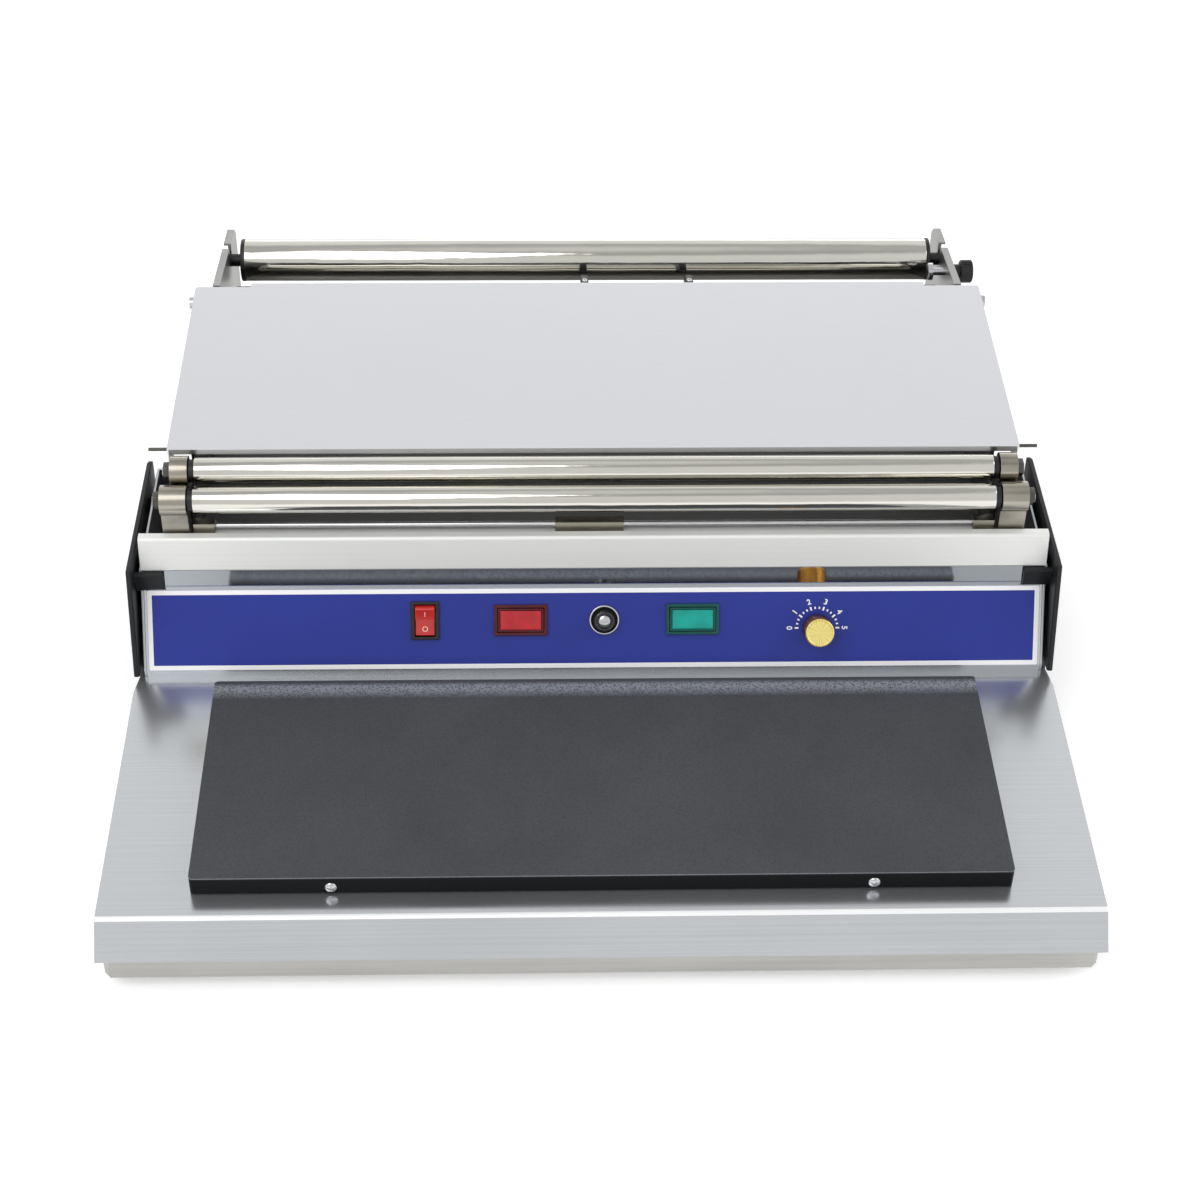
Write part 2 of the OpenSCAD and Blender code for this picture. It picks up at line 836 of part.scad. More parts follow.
module cutter_channel() in_frame() color([0.74, 0.75, 0.76])
    difference() {
        along_x(2 * plate_x)
            polygon(ring([[channel_y, shelf_z], [channel_y, channel_z],
                [channel_y + channel_d, channel_z], [channel_y + channel_d, shelf_z]], sheet_t));
        for (p = clip_screw_x)
            translate([p, clip_screw_y, channel_z - channel_h / 2])
                cylinder(r = clip_screw_r + press_fit, h = channel_h);
    }

module cutter_rod() in_frame() color([0.80, 0.80, 0.81])
    translate([0, rod_y, rod_z])
        rod_x(rod_r, 2 * plate_x - clip_end);

module cutter_clips() in_frame() color([0.80, 0.81, 0.82])
    difference() {
        for (c = clip_spans)
            translate([c[0] - c[1] / 2, channel_y + sheet_t, channel_z])
                cube([c[1], clip_d, clip_h]);
        for (c = clip_spans)
            translate([c[0] - c[1] / 2 - eps, rod_y + rod_r + clip_wall, channel_z + clip_foot])
                cube([c[1] + 2 * eps, clip_d, clip_h]);
        translate([0, rod_y, rod_z])
            rod_x(rod_r + press_fit, 2 * plate_x);
        for (p = clip_screw_x)
            translate([p, clip_screw_y, channel_z - eps])
                cylinder(r = clip_screw_r + press_fit, h = clip_h);
    }

module clip_screws() in_frame() color([0.55, 0.55, 0.56])
    for (p = clip_screw_x)
        translate([p, clip_screw_y, channel_z + clip_foot]) {
            translate([0, 0, -clip_screw_l])
                cylinder(r = clip_screw_r, h = clip_screw_l + clip_head_t / 2);
            cylinder(r = clip_head_r, h = clip_head_t);
        }

module cutter_guard() in_frame() color([0.84, 0.85, 0.85])
    union() {
        along_x(guard_w)
            polygon(ring([[guard_y, guard_foot_z], [guard_y + guard_lean, shelf_z + guard_h],
                [guard_back, shelf_z + guard_h], [guard_back, shelf_z + guard_h - guard_lip]],
                sheet_t));
        both_sides()
            along_x(sheet_t, guard_w / 2 - sheet_t)
                polygon([[guard_y, shelf_z], [guard_y + guard_lean, shelf_z + guard_h],
                    [guard_back, shelf_z + guard_h], [guard_back, shelf_z + guard_h - guard_lip],
                    [guard_y + guard_lip, shelf_z]]);
    }

module front_tube(y, z) {
    translate([0, y, z])
        difference() {
            rod_x(front_r, front_l);
            rod_x(front_r - tube_wall, front_l + 2 * eps);
        }
}

module front_bushes(y, z) {
    both_sides()
        translate([0, y, z])
            difference() {
                union() {
                    rod_x(front_r - tube_wall - press_fit, bush_in, front_l / 2 - bush_in);
                    rod_x(bush_flange_r, bush_flange, front_l / 2);
                }
                rod_x(shaft_r + run_fit, bush_in + bush_flange + 2 * eps, front_l / 2 - bush_in - eps);
            }
}

module lower_roller() in_frame() color([0.82, 0.82, 0.81])
    front_tube(low_y, low_z);

module upper_roller() in_frame() color([0.82, 0.82, 0.81])
    front_tube(high_y, high_z);

module lower_roller_bushes() in_frame() color([0.10, 0.10, 0.11])
    front_bushes(low_y, low_z);

module upper_roller_bushes() in_frame() color([0.10, 0.10, 0.11])
    front_bushes(high_y, high_z);

module roller_shafts() in_frame() color([0.75, 0.75, 0.77]) {
    translate([0, low_y, low_z])
        rod_x(shaft_r, 2 * (arm_x + low_arm_w + nut_t + eps));
    translate([0, high_y, high_z])
        rod_x(shaft_r, 2 * (arm_x + high_arm_w + nut_t + eps));
}

module arm_outline(y, z, front, back, foot_z, inset, open) {
    // A round head about the shaft on a leg, less an inset, open at the back
    translate([y, z])
        circle(arm_r - inset);
    translate([y - front + inset, foot_z])
        square([front + back - inset + (open ? arm_r : 0), z - foot_z]);
}

module arm(y, z, w, front, back, foot_z) {
    difference() {
        along_x(w, arm_x)
            arm_outline(y, z, front, back, foot_z, 0, false);
        along_x(w - 2 * arm_wall, arm_x + arm_wall)
            arm_outline(y, z, front, back, foot_z - eps, arm_wall, true);
        translate([0, y, z])
            rod_x(shaft_r + press_fit, w + 2 * eps, arm_x - eps);
    }
}

module roller_brackets() in_frame() color([0.78, 0.78, 0.77])
    both_sides() {
        arm(low_y, low_z, low_arm_w, leg_front, leg_back, shelf_z);
        translate([arm_x + low_arm_w - eps, low_y - leg_front, shelf_z])
            cube([arm_foot_w + eps, leg_front + leg_back, sheet_t]);
        arm(high_y, high_z, high_arm_w, leg_front + sheet_t, leg_back + sheet_t, high_foot_z);
    }

module roller_nuts() in_frame() color([0.66, 0.66, 0.68])
    both_sides()
        for (p = [[low_y, low_z, low_arm_w], [high_y, high_z, high_arm_w]])
            translate([arm_x + p[2], p[0], p[1]])
                rotate([0, 90, 0])
                    difference() {
                        cylinder(r = nut_r, h = nut_t, $fn = 6);
                        translate([0, 0, -eps])
                            cylinder(r = shaft_r + press_fit, h = nut_t + 2 * eps);
                    }

module platform() in_frame() color([0.80, 0.81, 0.83])
    difference() {
        union() {
            block([plat_w, plat_d, plat_t], 0, plat_y + plat_d / 2, plat_z - plat_t);
            block([tail_w, plat_tail + plat_t, plat_t], 0, plat_back + (plat_tail - plat_t) / 2,
                plat_z - plat_t);
            block([plat_w, plat_t, lip_h], 0, plat_y + plat_t / 2, plat_z - lip_h);
            block([tail_w, plat_t, lip_h], 0, plat_back + plat_tail - plat_t / 2, plat_z - lip_h);
            both_sides() {
                block([plat_t, plat_d, skirt_h], plat_w / 2 - plat_t / 2, plat_y + plat_d / 2,
                    plat_z - skirt_h);
                translate([0, plat_y + lift_pin_in, plat_z - lip_h])
                    rod_x(lift_pin_r, lift_pin_l + eps, plat_w / 2 - eps);
            }
        }
        translate([0, pivot_y, pivot_z])
            rod_x(pivot_r + run_fit, plat_w + 2 * eps);
    }

module platform_pivots() in_frame() color([0.60, 0.60, 0.62])
    both_sides()
        translate([0, pivot_y, pivot_z]) {
            rod_x(pivot_r, plat_w / 2 + seat + eps - plate_x + nut_t, plate_x - nut_t);
            rod_x(pivot_shoulder_r, plat_w / 2 - plat_t - seat - arm_x, arm_x);
            rod_x(pivot_head_r, pivot_head_t, plat_w / 2 + seat);
            rod_x(pivot_head_r, nut_t, plate_x - nut_t);
        }

module rest_pads() in_frame() color([0.12, 0.12, 0.13])
    both_sides()
        block([plate_t + 2 * run_fit, pad_l, pad_t], plate_x + plate_t / 2,
            plate_rise_y + pad_l, rest_z);

module side_plate() {
    difference() {
        union() {
            along_x(plate_t, plate_x) {
                polygon([[plate_front, pan_floor], [plate_front, plate_front_z],
                    [plate_rise_y, plate_front_z], [plate_rise_y, rest_z],
                    [pivot_y + notch_in, rest_z], [pivot_y + notch_in, notch_z],
                    [plat_back + notch_out, notch_z], [plat_back + notch_out, plate_high_z],
                    [plate_rear_y - end_cut, plate_rear_z],
                    [plate_rear_y, plate_rear_z - end_cut], [plate_rear_y, pan_floor]]);
                translate([pivot_y, pivot_z])
                    circle(pivot_shoulder_r);
            }
            along_x(plate_flange + eps, arm_x - eps)
                polygon(ring([[plat_back + notch_out, plate_high_z],
                    [plate_rear_y - end_cut, plate_rear_z]], flange_t));
        }
        translate([0, pivot_y, pivot_z])
            rod_x(pivot_r + press_fit, 2 * plate_w);
        translate([0, middle_y, middle_z])
            rod_x(stub_r + run_fit, 2 * plate_w);
        translate([0, rear_y, rear_z])
            rod_x(stub_r + run_fit, 2 * plate_w);
        block([4 * plate_w, 2 * (stub_r + run_fit), plate_high_z], 0, rear_y, rear_z);
    }
}

module side_plates() in_frame() color([0.73, 0.73, 0.71])
    difference() {
        both_sides()
            side_plate();
        translate([0, brake_y, brake_z])
            rod_x(spindle_r + run_fit, plate_w, 0);
    }

module inner_tray() in_frame() color([0.70, 0.71, 0.72])
    difference() {
        translate([seat - plate_x, shelf_back + seat, tray_z - tray_h])
            cube([2 * (plate_x - seat), panel_back_y - shelf_back - 2 * seat, tray_h]);
        translate([seat - plate_x + sheet_t, shelf_back + seat + sheet_t, tray_z - tray_h - sheet_t])
            cube([2 * (plate_x - seat - sheet_t),
                panel_back_y - shelf_back - 2 * seat - 2 * sheet_t, tray_h]);
    }

module rear_panel() in_frame() color([0.70, 0.71, 0.72])
    difference() {
        block([2 * (plate_x - seat), sheet_t, tray_z - pan_floor], 0, panel_back_y + sheet_t / 2,
            pan_floor);
        translate([gland_x, panel_back_y - eps, gland_z])
            rotate([-90, 0, 0])
                cylinder(r = gland_r + run_fit, h = sheet_t + 2 * eps);
    }

module cord_gland() in_frame() color([0.10, 0.10, 0.11])
    translate([gland_x, panel_back_y, gland_z])
        rotate([-90, 0, 0])
            difference() {
                union() {
                    translate([0, 0, -gland_nut_t])
                        cylinder(r = gland_flange_r, h = gland_nut_t, $fn = 6);
                    translate([0, 0, -gland_nut_t])
                        cylinder(r = gland_r, h = gland_nut_t + sheet_t + eps);
                    translate([0, 0, sheet_t])
                        cylinder(r = gland_flange_r, h = gland_nut_t);
                    translate([0, 0, sheet_t])
                        cylinder(r = gland_cap_r, h = gland_l);
                }
                translate([0, 0, -gland_nut_t - eps])
                    cylinder(r = gland_bore_r, h = gland_nut_t + sheet_t + gland_l + 2 * eps);
            }

module cradle_tube(y, z) {
    translate([0, y, z])
        difference() {
            rod_x(cradle_r, cradle_l);
            rod_x(cradle_r - tube_wall, cradle_l + 2 * eps);
        }
}

module cradle_plugs(y, z) {
    both_sides()
        translate([0, y, z]) {
            rod_x(cradle_r - tube_wall - press_fit, plug_in, cradle_l / 2 - plug_in);
            rod_x(cradle_r, plug_flange, cradle_l / 2);
            rod_x(stub_r, arm_x - cradle_l / 2 + eps, cradle_l / 2);
        }
}

module rear_roller() in_frame() color([0.82, 0.82, 0.81])
    cradle_tube(rear_y, rear_z);

module middle_roller() in_frame() color([0.82, 0.82, 0.81])
    cradle_tube(middle_y, middle_z);

module rear_roller_plugs() in_frame() color([0.09, 0.09, 0.10])
    cradle_plugs(rear_y, rear_z);

module middle_roller_plugs() in_frame() color([0.09, 0.09, 0.10])
    cradle_plugs(middle_y, middle_z);

module film_stop(x) {
    translate([x, middle_y, middle_z])
        difference() {
            rod_x(stop_r, stop_t);
            rod_x(cradle_r + run_fit, stop_t + 2 * eps);
            cylinder(r = stop_screw_r + press_fit, h = stop_r + eps);
        }
}

module stop_screw(x) {
    translate([x, middle_y, middle_z + cradle_r + seat])
        cylinder(r = stop_screw_r, h = stop_r - cradle_r);
    translate([x, middle_y, middle_z + stop_r])
        cylinder(r = stop_head_r, h = stop_head_t);
}

module film_stop_left() in_frame() color([0.10, 0.10, 0.12])
    film_stop(stop_left_x);

module film_stop_right() in_frame() color([0.10, 0.10, 0.12])
    film_stop(stop_right_x);

module stop_screw_left() in_frame() color([0.80, 0.80, 0.82])
    stop_screw(stop_left_x);

module stop_screw_right() in_frame() color([0.80, 0.80, 0.82])
    stop_screw(stop_right_x);

module brake_spindle() in_frame() color([0.65, 0.65, 0.67])
    translate([0, brake_y, brake_z]) {
        rod_x(spindle_r, plate_t + spindle_in + knob_gap + hub_l + cap_l - brake_skin,
            plate_x - spindle_in);
        rod_x(brake_pad_r, brake_pad_t, plate_x - spindle_in - brake_pad_t);
    }

module brake_knob() in_frame() color([0.10, 0.11, 0.12])
    translate([0, brake_y, brake_z])
        difference() {
            union() {
                rod_x(hub_r, hub_l + eps, arm_x + knob_gap);
                rod_x(brake_r, cap_l, arm_x + knob_gap + hub_l);
            }
            rod_x(spindle_r + run_fit, hub_l + cap_l - brake_skin + run_fit + eps,
                arm_x + knob_gap - eps);
        }

module cheek_plates() in_frame() color([0.74, 0.75, 0.76])
    both_sides()
        difference() {
            union() {
                along_x(cheek_t, cheek_x)
                    polygon([[deck_end + seat, pan_floor], [deck_end + seat, deck_z + seat],
                        [panel_y + sheet_t, deck_z + seat], [panel_y + sheet_t, panel_z],
                        [panel_top_y, panel_top_z], [strip_y, panel_top_z],
                        [strip_y, shelf_z - seat], [cheek_back, shelf_z - seat],
                        [cheek_back, pan_floor]]);
                translate([pan_rear_x + seat, cheek_back - cheek_t, pan_floor])
                    cube([cheek_x - pan_rear_x - seat + eps, cheek_t, shelf_z - seat - pan_floor]);
            }
            cover_places()
                rod_x(cover_screw_r + press_fit, cheek_t + 2 * eps, cheek_x - eps);
        }

module cover_places() {
    for (p = [[panel_top_y + cover_hole_in, panel_top_z - panel_rise / 2],
            [cheek_back - cover_hole_in, shelf_z - cover_hole_in],
            [cheek_back - cover_hole_in, deck_z - cover_hole_in / 2]])
        translate([0, p[0], p[1]])
            children();
}

module side_covers() in_frame() color([0.11, 0.12, 0.13])
    both_sides()
        difference() {
            union() {
                along_x(cover_t, cover_in)
                    polygon([[panel_y - cover_front, panel_z], [panel_y - cover_front / 2, deck_z + cover_t],
                        [deck_end + seat, deck_z + cover_t], [deck_end + seat, pan_floor],
                        [cheek_back, pan_floor], [cheek_back, cover_z - cover_fall],
                        [cheek_back - cover_fall, cover_z - cover_fall / 2],
                        [panel_top_y - cover_fall / 2, cover_z],
                        [panel_top_y - cover_lean_back, cover_z]]);
                along_x(cover_in - strip_end_x + eps, strip_end_x)
                    polygon([[panel_top_y - seat, panel_top_z + seat],
                        [strip_y - seat, panel_top_z + seat],
                        [strip_y - seat, shelf_z - seat],
                        [strip_y - block_lean - seat, shelf_z - seat]]);
                cover_places()
                    rod_x(cover_boss_r, cover_in - cheek_x - cheek_t + eps, cheek_x + cheek_t);
            }
            cover_places() {
                rod_x(cover_screw_r + press_fit, reach, cheek_x);
                rod_x(cover_head_r + press_fit, reach, deck_w / 2 - cover_head_t);
            }
        }

module cover_screws() in_frame() color([0.62, 0.62, 0.64])
    both_sides()
        cover_places() {
            rod_x(cover_screw_r, deck_w / 2 - cover_head_t + eps - cheek_x + cheek_t, cheek_x - cheek_t);
            rod_x(cover_head_r, cover_head_t - run_fit, deck_w / 2 - cover_head_t);
        }

module transformer() in_frame() color([0.35, 0.30, 0.25]) {
    block([core_w, core_d, core_h], transformer_x, transformer_y, pan_floor);
    block([core_w - core_leg, core_d + core_leg, core_h - 2 * core_leg], transformer_x, transformer_y,
        pan_floor + core_leg);
}

module wiring() in_frame() color([0.15, 0.15, 0.55]) {
    // A trunk along the compartment with a branch from each control
    translate([0, trunk_y, trunk_z])
        rod_x(trunk_r, transformer_x - switch_x, switch_x);
    for (p = [[switch_x, switch_deep], [red_x, lamp_deep], [fuse_x, fuse_deep], [green_x, lamp_deep]])
        between(panel_point(p[0], control_s, -p[1] - seat), [p[0] + trunk_r, trunk_y, trunk_z], wire_r);
    between([knob_x - stat_w / 3, trunk_y, trunk_z],
        panel_point(knob_x - stat_w / 3, knob_s, -sheet_t - stat_d - seat), wire_r);
    between([transformer_x - 2 * trunk_r, trunk_y, trunk_z],
        [transformer_x - 2 * trunk_r, transformer_y - core_d / 2 - core_leg / 2 - run_fit, trunk_z],
        wire_r);
}

deck();
bottom_pan();
feet();
foot_bolts();
hot_plate();
heater_pad();
heater_insulation();
heater_clamp();
hot_plate_brackets();
hot_plate_screws();
thermostat_sensor();
front_housing();
control_label();
switch_body();
rocker();
indicator_bodies();
red_lens();
green_lens();
indicator_lamps();
fuse_holder();
fuse_ring();
fuse_cap();
glass_fuse();
thermostat();
thermostat_shaft();
temperature_knob();
cutter_channel();
cutter_rod();
cutter_clips();
clip_screws();
cutter_guard();
lower_roller();
lower_roller_bushes();
upper_roller();
upper_roller_bushes();
roller_shafts();
roller_brackets();
roller_nuts();
platform();
platform_pivots();
rest_pads();
side_plates();
inner_tray();
rear_panel();
rear_roller();
rear_roller_plugs();
middle_roller();
middle_roller_plugs();
film_stop_left();
film_stop_right();
stop_screw_left();
stop_screw_right();
brake_spindle();
brake_knob();
cheek_plates();
side_covers();
cover_screws();
transformer();
wiring();
cord_gland();
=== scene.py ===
import json
import math

import bmesh
import bpy
from mathutils import Matrix, Vector

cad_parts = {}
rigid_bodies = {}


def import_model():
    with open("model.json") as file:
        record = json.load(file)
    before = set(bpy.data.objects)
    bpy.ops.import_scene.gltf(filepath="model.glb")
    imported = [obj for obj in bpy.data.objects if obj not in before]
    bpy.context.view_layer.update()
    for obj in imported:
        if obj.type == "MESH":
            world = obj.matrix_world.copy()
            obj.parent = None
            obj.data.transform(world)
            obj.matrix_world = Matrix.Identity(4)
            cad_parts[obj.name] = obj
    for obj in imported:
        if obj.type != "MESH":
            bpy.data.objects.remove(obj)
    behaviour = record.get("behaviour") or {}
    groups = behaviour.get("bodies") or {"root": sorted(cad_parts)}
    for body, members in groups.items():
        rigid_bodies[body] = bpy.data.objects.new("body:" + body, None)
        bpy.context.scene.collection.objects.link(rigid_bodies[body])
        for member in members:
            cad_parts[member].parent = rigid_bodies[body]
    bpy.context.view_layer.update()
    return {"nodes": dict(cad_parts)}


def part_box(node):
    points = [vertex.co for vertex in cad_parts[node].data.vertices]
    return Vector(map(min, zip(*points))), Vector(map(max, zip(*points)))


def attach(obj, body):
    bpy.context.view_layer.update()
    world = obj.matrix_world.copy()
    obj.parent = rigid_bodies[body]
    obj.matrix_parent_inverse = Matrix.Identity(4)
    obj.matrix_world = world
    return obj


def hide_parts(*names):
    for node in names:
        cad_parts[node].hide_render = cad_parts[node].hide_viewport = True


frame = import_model()

bl_info = {
    "name": "Film Wrapping Machine",
    "version": (1, 0, 0),
    "blender": (4, 5, 0),
    "location": "View3D > Sidebar > Wrapper",
    "description": "Dresses a table-top cling film wrapping machine: sheet metal, rollers, controls and finishes",
    "category": "Object",
}

MM = 0.001
DECK_LOW, DECK_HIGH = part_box("deck")
HOUSING_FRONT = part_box("front_housing")[0].y
APRON_OUT = 15 * MM
PANEL_FOOT = 5 * MM
PANEL_RUN, PANEL_RISE = 24, 41
LEAN = math.atan2(PANEL_RUN, PANEL_RISE)
PANEL_LENGTH = math.hypot(PANEL_RUN, PANEL_RISE)

# Places on the panel in millimetres: right of its middle, and up its slope
CONTROLS_UP = 28.8
SWITCH, FUSE = (-98, CONTROLS_UP), (5, CONTROLS_UP)
RED_X, GREEN_X = -43, 56
KNOB = (128, 23)

# How near an edge has to lie to a face, in metres, and how straight it has to point along an axis
NEAR = 0.5 * MM
STRAIGHT = 0.99

# The turns of the cuts in a screw's head, in degrees
CROSS, SLOT = (0, 90), (0,)
RIGHT, BACK, UP = Vector((1, 0, 0)), Vector((0, 1, 0)), Vector((0, 0, 1))
WHITE = (1, 1, 1, 1)


def place(x, y, h):
    """A point from its millimetres: right of the middle, behind the deck's front edge, above the deck."""
    return Vector((x * MM, DECK_LOW.y + APRON_OUT + y * MM, DECK_HIGH.z + h * MM))


def panel_matrix(x, s, out=0.0):
    """Local X is right, Y is up the sloping panel and Z points out of it; x and s are in millimetres, out in metres."""
    up = Vector((0, math.sin(LEAN), math.cos(LEAN)))
    normal = Vector((0, -math.cos(LEAN), math.sin(LEAN)))
    foot = Vector((0, HOUSING_FRONT, DECK_HIGH.z + PANEL_FOOT))
    at = foot + Vector((x * MM, 0, 0)) + up * (s * MM) + normal * out
    return Matrix(((1, up.x, normal.x, at.x), (0, up.y, normal.y, at.y), (0, up.z, normal.z, at.z), (0, 0, 0, 1)))


def turn_x(at):
    """Local Z along the machine's width, about a point."""
    return Matrix.Translation(at) @ Matrix.Rotation(math.radians(90), 4, "Y")


def axis_of(node):
    """The axis of a round node that lies along the width, from its box."""
    low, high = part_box(node)
    at = (low + high) / 2
    return Vector((0, at.y, at.z))


def round_size(node):
    """The radius of a round node that lies along the width, and the place of its right end."""
    low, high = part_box(node)
    return (high.z - low.z) / 2, high.x


def tone(red, green, blue):
    """A display colour of 0 to 255 as the linear colour that a shader takes."""
    def one(v):
        v /= 255
        return v / 12.92 if v <= 0.04045 else ((v + 0.055) / 1.055) ** 2.4
    return (one(red), one(green), one(blue), 1.0)


# Settings


def colour_setting(name, description, *shown):
    return bpy.props.FloatVectorProperty(
        name=name, description=description, subtype="COLOR", size=4, min=0, max=1, default=tone(*shown))


def length_setting(name, description, default, least, most):
    """A length, given in millimetres."""
    return bpy.props.FloatProperty(
        name=name, description=description, unit="LENGTH", default=default * MM, min=least * MM, max=most * MM)


class WrapperFinish(bpy.types.PropertyGroup):
    steel: colour_setting("Stainless steel", "Colour of the deck, housing and side plates", 204, 207, 210)
    platform: colour_setting("Platform steel", "Colour of the satin platform", 217, 218, 222)
    guard: colour_setting("Guard bar", "Colour of the folded bar in front of the cutter", 238, 239, 236)
    tube: colour_setting("Polished tube", "Colour of the rollers", 214, 212, 204)
    coating: colour_setting("Plate coating", "Colour of the non-stick coating on the hot plate", 58, 60, 64)
    label: colour_setting("Panel blue", "Colour of the printed control panel", 40, 54, 148)
    cover: colour_setting("Black plastic", "Colour of the side covers", 19, 21, 25)
    gold: colour_setting("Gold knob", "Colour of the temperature knob", 255, 229, 140)


class WrapperSizes(bpy.types.PropertyGroup):
    bend: length_setting("Bend radius", "Radius of the folds in the sheet metal", 1.6, 0.5, 3)
    edge: length_setting("Edge radius", "Radius of deburred sheet edges", 0.25, 0.1, 0.6)
    border: length_setting("Panel border", "Width of the printed panel's white border", 2.7, 0.5, 4)
    knurls: bpy.props.IntProperty(
        name="Knurls", description="Ridges round the temperature knob", default=72, min=24, max=120)
    flutes: bpy.props.IntProperty(
        name="Flutes", description="Ridges round the brake knob", default=24, min=8, max=48)
    dial_ticks: bpy.props.IntProperty(
        name="Dial ticks", description="Marks round the temperature knob", default=16, min=7, max=61)


def finish():
    return bpy.context.scene.wrapper_finish


def sizes():
    return bpy.context.scene.wrapper_sizes


# Node helpers


def fill(tree, node, inputs):
    """Links each named or numbered input to the socket that is given for it, or sets it to the plain value."""
    for key, value in inputs.items():
        if isinstance(value, bpy.types.NodeSocket):
            tree.links.new(value, node.inputs[key])
        else:
            node.inputs[key].default_value = value


def add(tree, kind, inputs=None, **settings):
    node = tree.nodes.new(kind)
    for key, value in settings.items():
        setattr(node, key, value)
    fill(tree, node, inputs or {})
    return node


def calc(tree, operation, *values):
    return add(tree, "ShaderNodeMath", dict(enumerate(values)), operation=operation).outputs[0]


def ramp(tree, source, low, high, to_low, to_high):
    """A value carried from one range to another."""
    return add(tree, "ShaderNodeMapRange", {
        "Value": source, "From Min": low, "From Max": high, "To Min": to_low, "To Max": to_high}).outputs["Result"]


def slow_ramp(tree, noise, to_low, to_high):
    """The middle of a noise carried to a range."""
    return ramp(tree, noise, 0.3, 0.7, to_low, to_high)


def mixed(tree, factor, first, second):
    return add(tree, "ShaderNodeMix", {"Factor": factor, "A": first, "B": second}, data_type="RGBA").outputs["Result"]


def shade(colour, factor):
    return tuple(min(1.0, c * factor) for c in colour[:3]) + (1.0,)


def mottled(tree, noise, colour, darker, lighter):
    """A colour that a noise carries from a darker to a lighter shade."""
    return mixed(tree, ramp(tree, noise, 0.35, 0.65, 0, 1), shade(colour, darker), shade(colour, lighter))


def banded(tree, source, first, last, between):
    """Colours along a value: the first and last steps and those between, each a position and a colour."""
    node = add(tree, "ShaderNodeValToRGB", {"Fac": source})
    steps = node.color_ramp.elements
    steps[0].position, steps[0].color = first
    steps[1].position, steps[1].color = last
    for position, colour in between:
        steps.new(position).color = colour
    return node.outputs["Color"]


def skinned(tree, height, strength, distance, inputs):
    """Sets the surface's inputs, and bumps it by a height; gives the node of the bump."""
    bump = add(tree, "ShaderNodeBump", {"Strength": strength, "Distance": distance, "Height": height})
    fill(tree, tree.nodes["Principled BSDF"], {"Normal": bump.outputs["Normal"], **inputs})
    return bump


def tree_of(name, kind, inputs, outputs, build):
    """The node group of that name, which is made on its first use; inputs and outputs are name and socket pairs."""
    if name in bpy.data.node_groups:
        return bpy.data.node_groups[name]
    tree = bpy.data.node_groups.new(name, kind)
    for way, sockets in (("INPUT", inputs), ("OUTPUT", outputs)):
        for label, socket in sockets:
            tree.interface.new_socket(label, in_out=way, socket_type="NodeSocket" + socket)
    given = tree.nodes.new("NodeGroupInput").outputs
    fill(tree, tree.nodes.new("NodeGroupOutput"), build(tree, given))
    return tree


# Node groups for the finishes


def streak_group():
    """Fine brushing along one direction, and slow clouding across a face."""
    def build(tree, given):
        where = add(tree, "ShaderNodeTexCoord").outputs["Object"]
        scaled = add(tree, "ShaderNodeVectorMath", {0: where, 1: given["Stretch"]}, operation="MULTIPLY").outputs[0]
        streak = add(tree, "ShaderNodeTexNoise", {"Vector": scaled, "Scale": 1, "Detail": 3, "Roughness": 0.65})
        cloud = add(tree, "ShaderNodeTexNoise", {"Vector": where, "Scale": given["Cloud Scale"], "Detail": 2})
        return {"Streak": streak.outputs["Fac"], "Cloud": cloud.outputs["Fac"]}

    return tree_of("brushed streaks", "ShaderNodeTree", (("Stretch", "Vector"), ("Cloud Scale", "Float")),
                   (("Streak", "Float"), ("Cloud", "Float")), build)


def grain_group():
    """Small raised cells, as in a leather-like coating or moulded plastic."""
    def build(tree, given):
        where = add(tree, "ShaderNodeTexCoord").outputs["Object"]
        cells = add(tree, "ShaderNodeTexVoronoi", {"Vector": where, "Scale": given["Cells"], "Smoothness": 0.6},
                    feature="SMOOTH_F1")
        fine = add(tree, "ShaderNodeTexNoise", {"Vector": where, "Scale": given["Cells"], "Detail": 4})
        wear = add(tree, "ShaderNodeTexNoise", {
            "Vector": where, "Scale": given["Wear Scale"], "Detail": 5, "Roughness": 0.6})
        return {"Height": calc(tree, "MULTIPLY_ADD", fine.outputs["Fac"], 0.5, cells.outputs["Distance"]),
                "Wear": wear.outputs["Fac"]}

    return tree_of("raised grain", "ShaderNodeTree", (("Cells", "Float"), ("Wear Scale", "Float")),
                   (("Height", "Float"), ("Wear", "Float")), build)


def grain(tree, cells, wear):
    return add(tree, "ShaderNodeGroup", {"Cells": cells, "Wear Scale": wear}, node_tree=grain_group()).outputs


# Makers of finishes, each from a material's tree and its colour


def brushed(tree, colour, stretch=(4, 900, 900), rough=(0.26, 0.38), contrast=0.06, bump=0.12, clouds=9, metallic=1.0,
            wave=0.0):
    """Brushed sheet: streaks in colour, gloss and height, over a slow clouding, which may also make the face wavy."""
    group = add(tree, "ShaderNodeGroup", {"Stretch": stretch, "Cloud Scale": clouds}, node_tree=streak_group()).outputs
    both = calc(tree, "MULTIPLY_ADD", group["Streak"], 0.6, calc(tree, "MULTIPLY", group["Cloud"], 0.4))
    fine = skinned(tree, group["Streak"], bump, 0.06 * MM, {
        "Base Color": mottled(tree, both, colour, 1 - contrast, 1 + contrast),
        "Roughness": slow_ramp(tree, group["Cloud"], *rough), "Metallic": metallic})
    if wave:
        slow = add(tree, "ShaderNodeBump", {"Strength": 1.0, "Distance": wave, "Height": group["Cloud"]})
        fill(tree, fine, {"Normal": slow.outputs["Normal"]})


